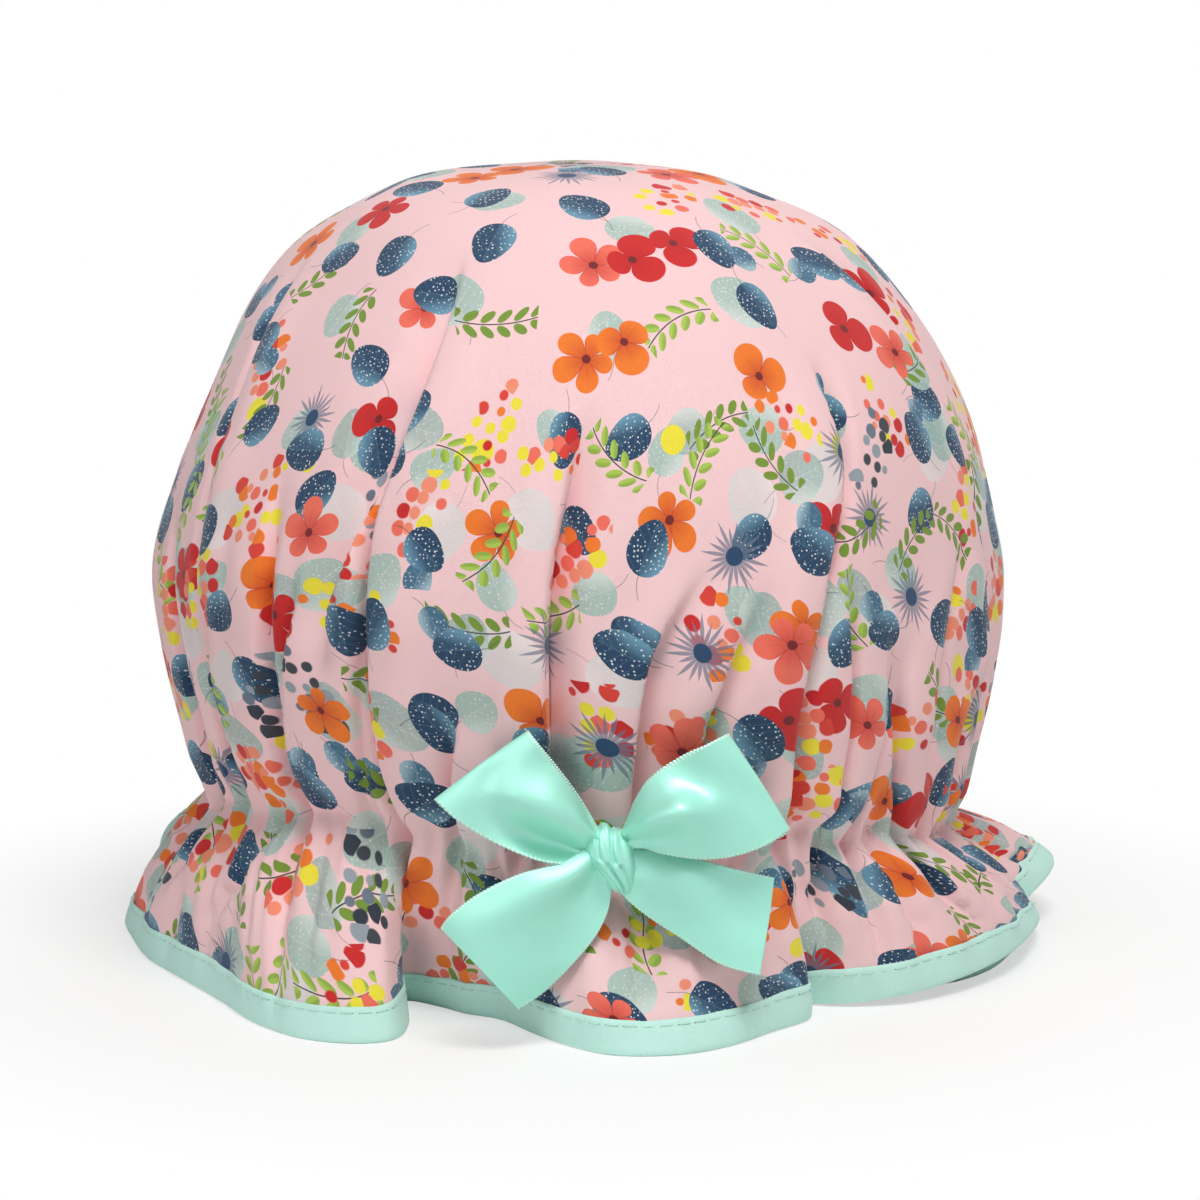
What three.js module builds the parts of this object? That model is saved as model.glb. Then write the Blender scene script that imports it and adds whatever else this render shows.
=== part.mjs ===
// Frilled shower cap: a gathered cotton crown and frill over a waterproof lining, drawn in by an elastic,
// with a bound hem and a tied satin bow. Millimetres, +Z up. The bow faces -Y and the hem stands on z = 0.
// An angle round the cap is 0 at the bow and grows towards +X.

import * as THREE from 'three';
import { mergeVertices } from 'three/addons/utils/BufferGeometryUtils.js';

const DEG = Math.PI / 180;

// Driving dimensions of the cap
const CROWN_TOP = 254;
const WAIST_RADIUS = 125;
const WAIST_HEIGHT = 44;
const FRILL_SLANT = 55;
const COTTON = 0.8;
const LINING = 0.5;
const GAP = 0.35;

// Driving dimensions of the bought parts
const BINDING_WIDTH = 12;
const BINDING_CLOTH = 0.6;
const HEM_ALLOWANCE = 3.5;
const ELASTIC_WIDTH = 8;
const ELASTIC_THICKNESS = 1.2;
const CASING_WIDTH = 14;
const CASING_CLOTH = 0.7;
const THREAD = 0.5;
const SEAM_INSET = 2;
const RIBBON_WIDTH = 35;
const RIBBON_THICKNESS = 0.8;

// Half of the crown's outline as it is stuffed: radius and height, from the gather line to the top
const CROWN_OUTLINE = [
  [WAIST_RADIUS, WAIST_HEIGHT], [132, 66], [138, 94], [139.5, 124], [133, 157], [122.5, 186],
  [107, 213], [86, 234.5], [58, 247.5], [29, 253], [0, CROWN_TOP],
];

// The crown's top leans a little to the left of the gather line
const CROWN_LEAN = -5;

// Folds drawn up from the gather line: the side on which the cloth stands over the fold (1 before it, -1 after
// it), its depth, the width over which it fills up again, and its path upwards: angle and distance up the cloth
const CROWN_FOLDS = [
  [1, 6, 9, [[-46, 0], [-48, 20], [-46.5, 66], [-46, 90], [-46.5, 122]]],
  [-1, 5, 5, [[-43.5, 0], [-42.8, 17], [-41, 45], [-38, 71], [-35, 96]]],
  [1, 4, 9, [[-33, 0], [-32, 38], [-29.5, 75], [-29, 108], [-28, 122]]],
  [-1, 10, 9, [[-24, 0], [-25.5, 30], [-25, 70], [-24.5, 105], [-22.5, 130], [-19, 172]]],
  [1, 9, 13, [[-6, 0], [-5.4, 50], [-5, 90], [-3.6, 120], [-1.5, 150]]],
  [1, 7, 13, [[5, 0], [6.2, 40], [8, 67], [12, 85], [17, 104]]],
  [1, 6, 12, [[13, 0], [15, 42], [17.5, 60], [20, 74], [24, 94]]],
  [1, 10, 9, [[28, 0], [27.5, 40], [29, 65], [31.5, 92], [35, 125], [36.5, 165]]],
  [1, 6, 6, [[36, 0], [36.6, 35], [36, 70], [35.5, 98]]],
  [1, 7, 6, [[41, 0], [43, 28], [43.6, 50], [43, 74]]],
  [-1, 9, 6, [[56, 0], [55, 9], [51.4, 28], [49.8, 48], [50.5, 70]]],
  [1, 6, 9, [[54, 0], [52, 45], [53, 65], [57, 84], [62, 104]]],
  [1, 7, 8, [[67, 0], [64, 30], [66, 46], [71, 66], [75, 84]]],
  [1, 7, 12, [[73, 20], [70, 60], [67, 96], [65.3, 125], [63, 156], [60, 184], [57, 212]]],
  [-1, 6, 16, [[-32, 70], [-28.5, 102], [-24.5, 132], [-20.5, 166], [-18, 205]]],
  [-1, 6, 10, [[-56, 20], [-57.5, 90], [-59, 125], [-60, 165], [-63, 200]]],
  [1, 5, 7, [[-62, 0], [-61, 30], [-59, 60], [-57, 82]]],
  [1, 7, 8, [[-72, 0], [-71, 35], [-73, 80], [-76, 104]]],
  [-1, 7, 8, [[-79, 0], [-80, 30], [-84, 78], [-86, 120]]],
  [-1, 6, 7, [[-16, 0], [-15.5, 25], [-13.5, 52]]],
  [1, 4, 6, [[-10.5, 0], [-11, 22], [-12, 44]]],
  [1, 5, 7, [[21, 0], [22.5, 22], [23.5, 46]]],
  [1, 6, 8, [[82, 0], [81, 35], [84, 90], [82, 125]]],
  [-1, 7.2, 9, [[93.5, 0], [93.5, 28], [91.4, 81]]],
  [1, 8.2, 6.1, [[102.1, 0], [103.4, 39], [98.8, 111]]],
  [-1, 6, 11.1, [[109.3, 0], [108.9, 16], [112.9, 45]]],
  [-1, 7.8, 8.4, [[116.7, 0], [118, 35], [117.2, 99]]],
  [1, 8, 7.4, [[124.2, 0], [124.9, 37], [125.6, 105]]],
  [-1, 8.4, 10.1, [[134.4, 0], [134.3, 41], [132.2, 117]]],
  [-1, 6.2, 9.8, [[143.1, 0], [142, 18], [144.7, 51]]],
  [-1, 9.6, 9.8, [[149.9, 0], [149.6, 54], [152.3, 153]]],
  [-1, 6.6, 7.2, [[158.5, 0], [158.2, 22], [160.9, 63]]],
  [-1, 9.4, 8.3, [[171.9, 0], [172.5, 51], [172.8, 147]]],
  [1, 6.4, 11.6, [[178.8, 0], [180.2, 20], [180.6, 57]]],
  [1, 9.2, 10.9, [[-174.7, 0], [-175.8, 49], [-173, 141]]],
  [-1, 10, 11.1, [[-165.1, 0], [-165.4, 58], [-164.7, 165]]],
  [-1, 7, 8.9, [[-153.8, 0], [-152.5, 26], [-155.3, 75]]],
  [1, 9, 8.4, [[-145.6, 0], [-147.1, 47], [-146.3, 135]]],
  [1, 8.8, 9.8, [[-137.3, 0], [-136, 45], [-133.9, 129]]],
  [-1, 6.8, 8, [[-130.9, 0], [-129.5, 24], [-133.4, 69]]],
  [-1, 7.6, 10.9, [[-121.8, 0], [-122.9, 33], [-122.6, 93]]],
  [-1, 8.6, 6.4, [[-112.3, 0], [-111.2, 43], [-109.7, 123]]],
  [-1, 7.4, 6.8, [[-106.8, 0], [-106.7, 30], [-108.7, 87]]],
  [1, 9.8, 9, [[-95.7, 0], [-95.6, 56], [-98.9, 159]]],
];

// Half width of a fold on the side that stands over it, and the most that folds draw the cloth in together
const FOLD_WALL = 4;
const DEEPEST_FOLD = 13;

// Distances up the cloth: where the elastic lets a fold come to its full depth, how long a fold takes to fade out
// at its top, and to begin where it starts clear of the gather line
const FOLD_HOLD = 22;
const FOLD_FADE = 45;
const FOLD_START = 35;

// Radius round the crown's middle inside which the cloth lies smooth
const SMOOTH_TOP = 40;

// How much higher the gather line is at the front and at the left, and where it rises beside the bow: angle,
// height and half width in degrees
const WAIST_TILT = 4;
const WAIST_RISES = [
  { angle: -38, height: 9, spread: 20 },
  { angle: 42, height: 7, spread: 14 },
];

// The hem as it lies, in order round the cap: the angle at the gather line that the cloth hangs from, and the
// angle, radius and height of the hem itself
const HEM = [
  [-176, -178, 140, 0], [-168, -171, 152, 0], [-159, -161, 150, 0], [-152, -151, 134, 0], [-146, -145, 121, 0],
  [-140, -140, 134, 3], [-131, -132, 156, 11], [-121, -122, 166, 19], [-112, -113, 159, 14], [-106, -107, 144, 5],
  [-101, -103, 141, 1], [-96, -99, 150, 0], [-90, -94, 153, 0], [-83, -86, 148, 0], [-75, -75, 144, 0],
  [-66, -63, 140, 0], [-57, -52, 142, 0], [-49, -42, 150, 0], [-41, -34, 154, 0], [-34, -28, 151, 0],
  [-28, -24, 138, 0], [-23.5, -22, 121, 0], [-18.5, -18.5, 111, 0], [-12.5, -12, 114, 0], [-8, -6, 127, 0],
  [-3, -1, 140, 0], [3, 4, 149, 0], [10, 11, 151, 0], [17, 17.5, 147, 0], [23, 25, 137, 0],
  [28, 31, 127, 0], [33, 34.5, 117, 0], [37, 37.5, 117, 0], [42, 43, 129, 1.5], [47, 50, 139, 3.5],
  [53, 58, 144, 5], [60, 67, 147, 6.5], [68, 77, 149, 7.5], [78, 86, 150, 9], [89, 92, 154, 13],
  [98, 98, 160, 17], [105, 105, 163, 18], [111, 112, 156, 13], [117, 119, 143, 6], [123, 125, 129, 1],
  [130, 131, 134, 0], [138, 139, 149, 0], [148, 148, 151, 0], [156, 157, 141, 0], [163, 165, 124, 0],
  [171, 172, 125, 0],
];

const CROWN_COLUMNS = 96;
const CROWN_ROWS = 8;
const FRILL_COLUMNS = 84;
const RING_COLUMNS = 60;

const bell = (x) => Math.exp(-x * x / 2);
const mix = (a, b, t) => a + (b - a) * t;
const sum = (list, f) => list.reduce((total, item) => total + f(item), 0);

function smooth(x) {
  const t = Math.min(Math.max(x, 0), 1);
  return t * t * (3 - 2 * t);
}

function turned(angle) {
  // The same direction between -180 and 180 degrees
  return ((angle + 180) % 360 + 360) % 360 - 180;
}

function around(angle, radius, height) {
  return new THREE.Vector3(radius * Math.sin(angle * DEG), -radius * Math.cos(angle * DEG), height);
}

function solid(points, triangles) {
  const geometry = new THREE.BufferGeometry();
  geometry.setAttribute('position', new THREE.Float32BufferAttribute(points.flatMap((p) => p.toArray()), 3));
  geometry.setIndex(triangles);
  return geometry;
}

function quad(a, b, c, d, upwards) {
  // Two triangles; a face that runs up is split along the same line as the one beside it that runs down
  return upwards ? [a, b, d, b, c, d] : [a, b, c, a, c, d];
}

function ringSolid(sections, turns = 1) {
  // Closed ring through closed sections, each a list of points that runs down and back up so many times
  const points = sections.flat();
  const sides = sections[0].length;
  const run = sides / turns / 2;
  const triangles = [];
  sections.forEach((section, i) => {
    const here = i * sides;
    const next = ((i + 1) % sections.length) * sides;
    for (let j = 0; j < sides; j += 1) {
      const k = (j + 1) % sides;
      triangles.push(...quad(here + j, here + k, next + k, next + j, Math.floor(j / run) % 2 === 1));
    }
  });
  return solid(points, triangles);
}

function barSolid(sections) {
  // Bar through closed sections, shut at both ends by strips between the sections' two sides
  const sides = sections[0].length;
  const last = (sections.length - 1) * sides;
  const triangles = Array.from(ringSolid(sections).index.array).slice(0, last * 6);
  for (let j = 0; j < sides / 2 - 1; j += 1) {
    const back = sides - 1 - j;
    triangles.push(...quad(j, back, back - 1, j + 1, false));
    triangles.push(...quad(last + j, last + j + 1, last + back - 1, last + back, false));
  }
  return solid(sections.flat(), triangles);
}

function gridNormals(grid) {
  // Outward direction at each point of a grid of rows from the top down and columns round the cap
  return grid.map((row, i) => row.map((point, j) => {
    const above = grid[Math.max(i - 1, 0)][j];
    const below = grid[Math.min(i + 1, grid.length - 1)][j];
    const down = below.clone().sub(above);
    const sideways = row[(j + 1) % row.length].clone().sub(row[(j + row.length - 1) % row.length]);
    return down.cross(sideways).normalize();
  }));
}

function offsetGrid(grid, normals, depth) {
  return grid.map((row, i) => row.map((point, j) => point.clone().addScaledVector(normals[i][j], -depth)));
}

// Gather line

const crownOutline = new THREE.SplineCurve(CROWN_OUTLINE.map(([r, z]) => new THREE.Vector2(r, z)));
const CROWN_LENGTH = crownOutline.getLength();

function pathAngle(path, up) {
  // Angle of a fold at a distance up the cloth, straight between the points of its path
  const i = Math.max(path.findIndex(([, reach]) => reach >= up), 1);
  const [[a, low], [b, high]] = path[path.length - 1][1] < up ? path.slice(-2) : [path[i - 1], path[i]];
  return mix(a, b, Math.min(Math.max((up - low) / (high - low), 0), 1));
}

function foldDepth(angle, up) {
  // From the side that stands over it, a fold falls off quickly and fills up again slowly. Together, folds draw
  // the cloth in less and less.
  const span = crownOutline.getPointAt(up / CROWN_LENGTH).x * DEG;
  const depth = sum(CROWN_FOLDS, ([side, deep, gentle, path]) => {
    const low = path[0][1];
    const high = path[path.length - 1][1];
    const off = side * turned(angle - pathAngle(path, up)) * span - FOLD_WALL;
    const fade = smooth((high - up) / Math.min(FOLD_FADE, 0.6 * (high - low)));
    const start = low === 0 ? 1 : smooth(0.7 + (up - low) / FOLD_START);
    return deep * fade * start * mix(0.5, 1, smooth(up / FOLD_HOLD))
      * bell(off / (off < 0 ? FOLD_WALL : gentle / 2 + 1));
  });
  return DEEPEST_FOLD * Math.tanh(depth / DEEPEST_FOLD);
}

function waistHeight(angle) {
  const rise = sum(WAIST_RISES, (wave) => wave.height * bell(turned(angle - wave.angle) / wave.spread));
  return WAIST_HEIGHT + WAIST_TILT * (Math.cos(angle * DEG) - Math.sin(angle * DEG)) + rise;
}

function waistRadius(angle) {
  return WAIST_RADIUS - foldDepth(angle, 0);
}

// Crown

function crownPoint(angle, down) {
  // down runs from 0 at the top to 1 at the gather line, evenly along the outline
  const outline = crownOutline.getPointAt(1 - down);
  const topness = smooth((outline.y - WAIST_HEIGHT) / (CROWN_TOP - WAIST_HEIGHT));
  const height = outline.y + (waistHeight(angle) - WAIST_HEIGHT) * (1 - topness);
  const radius = outline.x - foldDepth(angle, (1 - down) * CROWN_LENGTH) * smooth(outline.x / SMOOTH_TOP);
  const point = around(angle, Math.max(radius, 0), height);
  point.x += CROWN_LEAN * topness;
  return point;
}

function crownGrid() {
  const grid = [];
  for (let i = 1; i <= CROWN_ROWS; i += 1) {
    const row = [];
    for (let j = 0; j < CROWN_COLUMNS; j += 1) {
      const point = crownPoint(j * 360 / CROWN_COLUMNS, i / CROWN_ROWS);
      if (i === CROWN_ROWS) point.z += GAP;
      row.push(point);
    }
    grid.push(row);
  }
  return grid;
}

function crownShell(outerDepth, innerDepth) {
  // Dome of cloth between two depths below the crown's outer face
  const grid = crownGrid();
  const normals = gridNormals(grid);
  const outer = offsetGrid(grid, normals, outerDepth);
  const inner = offsetGrid(grid, normals, innerDepth);
  const levels = [...outer, ...inner.reverse()];
  const top = crownPoint(0, 0);
  const points = [...levels.flat(), top.clone().setZ(top.z - outerDepth), top.clone().setZ(top.z - innerDepth)];
  const triangles = [];
  const last = (levels.length - 1) * CROWN_COLUMNS;
  for (let j = 0; j < CROWN_COLUMNS; j += 1) {
    const k = (j + 1) % CROWN_COLUMNS;
    for (let i = 0; i < levels.length - 1; i += 1) {
      const here = i * CROWN_COLUMNS;
      const next = here + CROWN_COLUMNS;
      triangles.push(...quad(here + j, next + j, next + k, here + k, i >= CROWN_ROWS));
    }
    triangles.push(points.length - 2, j, k, points.length - 1, last + k, last + j);
  }
  return solid(points, triangles);
}

// Frill

// The hem and the directions that its cloth hangs from, as closed curves that share their stations from 0 to 1
const hemCurve = new THREE.CatmullRomCurve3(
  HEM.map(([, angle, radius, height]) => around(angle, radius, height)), true, 'catmullrom', 0.5);
const hangCurve = new THREE.CatmullRomCurve3(HEM.map(([angle]) => around(angle, 1, 0)), true, 'catmullrom', 0.5);

function frillPoint(station, down) {
  // down runs from 0 at the gather line to 1 at the hem's edge
  const hang = hangCurve.getPoint(station);
  const angle = Math.atan2(hang.x, -hang.y) / DEG;
  const waist = around(angle, waistRadius(angle), waistHeight(angle));
  const hem = hemCurve.getPoint(station);
  const point = waist.clone().lerp(hem, Math.pow(down, 0.9));
  return point.setZ(mix(waist.z, Math.max(hem.z, 0), down));
}

function hemStations() {
  // Stations spaced evenly along the hem's length, so that its turns get their share of points
  const fine = 1440;
  const lengths = [0];
  for (let i = 1; i <= fine; i += 1) {
    lengths.push(lengths[i - 1] + hemCurve.getPoint(i / fine).distanceTo(hemCurve.getPoint((i - 1) / fine)));
  }
  const stations = [];
  let i = 0;
  for (let j = 0; j < FRILL_COLUMNS; j += 1) {
    while (lengths[i + 1] < lengths[fine] * j / FRILL_COLUMNS) i += 1;
    stations.push(i / fine);
  }
  return stations;
}

const STATIONS = hemStations();

// Rows down the frill: the cloths end inside the binding's fold, and the last row is the hem's edge
const BINDING_ROW = 3;
const CLOTH_END_ROW = 4;
const EDGE_ROW = 5;
const bindingTop = 1 - BINDING_WIDTH / FRILL_SLANT;
const clothEnd = 1 - HEM_ALLOWANCE / FRILL_SLANT;
const FRILL_DOWNS = [0, bindingTop / 3, bindingTop * 2 / 3, bindingTop, clothEnd, 1];

const frillGrid = FRILL_DOWNS.map((down) => STATIONS.map((station) => {
  const point = frillPoint(station, down);
  if (down === 0) point.z -= GAP;
  return point;
}));
const frillNormals = gridNormals(frillGrid);

function belowFrill(row, depth, j) {
  return frillGrid[row][j].clone().addScaledVector(frillNormals[row][j], -depth);
}

function frillShell(outerDepth, innerDepth) {
  const rows = FRILL_DOWNS.map((_, row) => row).slice(0, CLOTH_END_ROW + 1);
  return ringSolid(STATIONS.map((_, j) => [
    ...rows.map((row) => belowFrill(row, outerDepth, j)),
    ...rows.map((row) => belowFrill(row, innerDepth, j)).reverse(),
  ]));
}

// Hem binding, folded round the edge of both cloths. Its fold is cut level where it stands on the table, and is
// square to the cloth where a wave lifts it clear.

const behindCloths = COTTON + GAP + LINING;
const CLEAR_HEIGHT = 4;
const FOLD_SHARE = 0.15;

function bindingFoot(depth, j) {
  const above = belowFrill(CLOTH_END_ROW, depth, j);
  const end = belowFrill(EDGE_ROW, depth, j);
  const height = frillGrid[EDGE_ROW][j].z;
  const foot = mix(height, end.z, smooth(height / CLEAR_HEIGHT));
  return above.clone().lerp(end, (above.z - foot) / (above.z - end.z)).setZ(foot);
}

function bindingSolid() {
  const rows = (depth, j) => [belowFrill(BINDING_ROW, depth, j), belowFrill(CLOTH_END_ROW, depth, j)];
  const fold = (depth, j) => belowFrill(CLOTH_END_ROW, depth, j).lerp(belowFrill(EDGE_ROW, depth, j), FOLD_SHARE);
  const front = -GAP;
  const back = behindCloths + GAP;
  return ringSolid(STATIONS.map((_, j) => [
    ...rows(front - BINDING_CLOTH, j),
    bindingFoot(front - BINDING_CLOTH, j),
    bindingFoot(back + BINDING_CLOTH, j),
    ...rows(back + BINDING_CLOTH, j).reverse(),
    ...rows(back, j),
    fold(back, j),
    fold(front, j),
    ...rows(front, j).reverse(),
  ]), 2);
}

// Rings that follow the gather line: casing, elastic and seams

function waistRing(section) {
  // Ring of one section, a list of radius and height above the gather line
  const angles = Array.from({ length: RING_COLUMNS }, (_, j) => j * 360 / RING_COLUMNS);
  return ringSolid(angles.map((angle) => section.map(([r, z]) => around(angle, r, waistHeight(angle) + z))));
}

const narrowest = Math.min(...crownGrid()[CROWN_ROWS - 1].map((point) => Math.hypot(point.x, point.y)));
const casingOuter = narrowest - COTTON - GAP - LINING;
const elasticOuter = casingOuter - GAP;
const casingInner = elasticOuter - ELASTIC_THICKNESS - GAP - CASING_CLOTH;

function casingSection() {
  const half = CASING_WIDTH / 2;
  const channel = ELASTIC_WIDTH / 2 + GAP;
  return [
    [casingOuter, half], [casingOuter, channel], [casingInner + CASING_CLOTH, channel],
    [casingInner + CASING_CLOTH, -channel], [casingOuter, -channel], [casingOuter, -half],
    [casingOuter - CASING_CLOTH, -half], [casingInner, -channel], [casingInner, channel],
    [casingOuter - CASING_CLOTH, half],
  ];
}

function bandSection(outer, thickness, low, high) {
  return [[outer, high], [outer, low], [outer - thickness, low], [outer - thickness, high]];
}

function casingSeam(side) {
  const middle = side * (CASING_WIDTH / 2 - 1);
  return waistRing(bandSection(casingOuter - CASING_CLOTH - 1.4, THREAD, middle - THREAD / 2, middle + THREAD / 2));
}

function hemSeam() {
  // Thread along the binding's outer leaf, a little below its upper edge
  const face = -2 * GAP - BINDING_CLOTH;
  const middle = SEAM_INSET / BINDING_WIDTH;
  const half = THREAD / BINDING_WIDTH / 2;
  const at = (depth, t, j) => belowFrill(BINDING_ROW, depth, j).lerp(belowFrill(EDGE_ROW, depth, j), t);
  return ringSolid(STATIONS.map((_, j) => [
    at(face - THREAD, middle - half, j), at(face - THREAD, middle + half, j),
    at(face, middle + half, j), at(face, middle - half, j),
  ]));
}

// Bow

const KNOT_CENTRE = new THREE.Vector3(9.4, -137, 56.5);
const KNOT_HALF = new THREE.Vector3(8, 7, 11.5);
const KNOT_TILT = 14;
const TACK_LENGTH = 3.5;
const TACK_RADIUS = 0.9;
const ROOT_WIDTH = 10;

// Loops and tails, set out from the knot's centre: the root where each leaves the knot and the middle of its
// far end, both as X and Z, how far the end stands in front of the knot, and the ribbon's direction across
// at the root and at the end
const LOOPS = {
  bow_loop_left: {
    root: [-9.5, 5.5], end: [-38, 28], front: 4, rootAcross: [0.5, 0.87], endAcross: [0.8, 0.6],
  },
  bow_loop_right: {
    root: [7.5, 10.5], end: [43, 23.5], front: 1, rootAcross: [0.26, -0.97], endAcross: [0.54, -0.84],
  },
};
const TAILS = {
  bow_tail_left: {
    root: [-8, -9.2], end: [-38.5, -31.5], front: 10, rootAcross: [-0.67, 0.74], endAcross: [-0.67, 0.74],
  },
  bow_tail_right: {
    root: [9.5, -6.5], end: [45.5, -19.5], front: 0, rootAcross: [-0.4, -0.9], endAcross: [-0.14, -0.99],
  },
};
const ACROSS_POINTS = 5;

function bowPoint([x, z], front) {
  return KNOT_CENTRE.clone().add(new THREE.Vector3(x, -front, z));
}

function ribbonBar(path, across, widths, cup) {
  // Ribbon along a path, with its direction across, width and cupping at each step
  return barSolid(path.map((centre, i) => {
    const along = path[Math.min(i + 1, path.length - 1)].clone().sub(path[Math.max(i - 1, 0)]);
    const face = along.cross(across[i]).normalize();
    const edge = (side) => Array.from({ length: ACROSS_POINTS }, (_, j) => {
      const t = 2 * j / (ACROSS_POINTS - 1) - 1;
      const depth = cup[i] * (t * t - 0.4) + side * RIBBON_THICKNESS / 2;
      return centre.clone().addScaledVector(across[i], t * widths[i] / 2).addScaledVector(face, depth);
    });
    return [...edge(-1), ...edge(1).reverse()];
  }));
}

function bowLoop({ root, end, front, rootAcross, endAcross }) {
  // Out from the knot along the back, round the end's soft crease and home along the puffed front
  const steps = 18;
  const puff = 9;
  const crease = 0.5;
  const path = [];
  const across = [];
  const widths = [];
  const cup = [];
  for (let i = 0; i <= steps; i += 1) {
    const turn = i / steps;
    const out = 1 - Math.pow(Math.abs(2 * turn - 1), 2.2);
    const side = turn < crease ? -1 : 1;
    const belly = Math.sin(Math.PI * Math.abs(2 * turn - 1) ** 0.8);
    const depth = side < 0 ? -1.2 - 2.5 * belly : 1.2 + puff * belly;
    const centre = bowPoint([mix(root[0], end[0], out), mix(root[1], end[1], out)], front * out);
    centre.y -= depth * smooth(Math.abs(2 * turn - 1) * 6);
    path.push(centre);
    const direction = new THREE.Vector3(mix(rootAcross[0], endAcross[0], out), 0, mix(rootAcross[1], endAcross[1], out));
    across.push(direction.normalize());
    widths.push(mix(ROOT_WIDTH, RIBBON_WIDTH, smooth(out * 1.25)));
    cup.push(side * 2.5 * (1 - out));
  }
  return ribbonBar(path, across, widths, cup);
}

function bowTail({ root, end, front, rootAcross, endAcross }) {
  const steps = 9;
  const path = [];
  const across = [];
  const widths = [];
  const cup = [];
  for (let i = 0; i <= steps; i += 1) {
    const out = i / steps;
    const centre = bowPoint([mix(root[0], end[0], out), mix(root[1], end[1], out)], front * out);
    centre.y -= 3 * Math.sin(Math.PI * out);
    path.push(centre);
    const direction = new THREE.Vector3(mix(rootAcross[0], endAcross[0], out), 0, mix(rootAcross[1], endAcross[1], out));
    across.push(direction.normalize());
    widths.push(mix(ROOT_WIDTH, RIBBON_WIDTH, smooth(out * 1.5)));
    cup.push(2.5 * (1 - out));
  }
  return ribbonBar(path, across, widths, cup);
}

function bowKnot() {
  const ball = new THREE.SphereGeometry(1, 14, 10);
  ball.deleteAttribute('normal');
  ball.deleteAttribute('uv');
  const knot = mergeVertices(ball);
  knot.scale(KNOT_HALF.x, KNOT_HALF.y, KNOT_HALF.z);
  knot.rotateY(KNOT_TILT * DEG);
  knot.translate(...KNOT_CENTRE.toArray());
  return knot;
}

function bowTack() {
  // Thread shank from the knot's back to the cloth
  const shank = new THREE.CylinderGeometry(TACK_RADIUS, TACK_RADIUS, TACK_LENGTH, 8);
  shank.translate(KNOT_CENTRE.x, KNOT_CENTRE.y + KNOT_HALF.y + GAP + TACK_LENGTH / 2, KNOT_CENTRE.z);
  return shank;
}

// Materials

function finish(color, roughness) {
  return new THREE.MeshStandardMaterial({ color, roughness, metalness: 0 });
}

const MINT_SATIN = finish(0x9be8cf, 0.35);
const MINT_COTTON = finish(0xbeecdd, 0.85);
const PINK_COTTON = finish(0xf4ccd2, 0.85);
const WHITE_LINING = finish(0xf2f1ee, 0.5);
const WHITE_TAPE = finish(0xf4f3f0, 0.8);
const MINT_THREAD = finish(0xa5dccb, 0.7);

const cap = new THREE.Group();

function add(name, geometry, material) {
  const mesh = new THREE.Mesh(geometry, material.clone());
  mesh.name = name;
  cap.add(mesh);
}

add('crown_cloth', crownShell(0, COTTON), PINK_COTTON);
add('frill_cloth', frillShell(0, COTTON), PINK_COTTON);
add('lining_crown', crownShell(COTTON + GAP, COTTON + GAP + LINING), WHITE_LINING);
add('lining_frill', frillShell(COTTON + GAP, COTTON + GAP + LINING), WHITE_LINING);
add('elastic_casing', waistRing(casingSection()), WHITE_TAPE);
add('elastic_band', waistRing(bandSection(elasticOuter, ELASTIC_THICKNESS, -ELASTIC_WIDTH / 2, ELASTIC_WIDTH / 2)),
  WHITE_TAPE);
add('casing_seam_upper', casingSeam(1), WHITE_TAPE);
add('casing_seam_lower', casingSeam(-1), WHITE_TAPE);
add('hem_binding', bindingSolid(), MINT_COTTON);
add('hem_seam', hemSeam(), MINT_THREAD);
for (const [name, loop] of Object.entries(LOOPS)) add(name, bowLoop(loop), MINT_SATIN);
for (const [name, tail] of Object.entries(TAILS)) add(name, bowTail(tail), MINT_SATIN);
add('bow_knot', bowKnot(), MINT_SATIN);
add('bow_tack', bowTack(), MINT_THREAD);

// The origin is under the middle of the whole cap
const reach = new THREE.Box3().setFromObject(cap);
cap.position.set(-(reach.min.x + reach.max.x) / 2, -(reach.min.y + reach.max.y) / 2, -reach.min.z);

export default cap;
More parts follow.
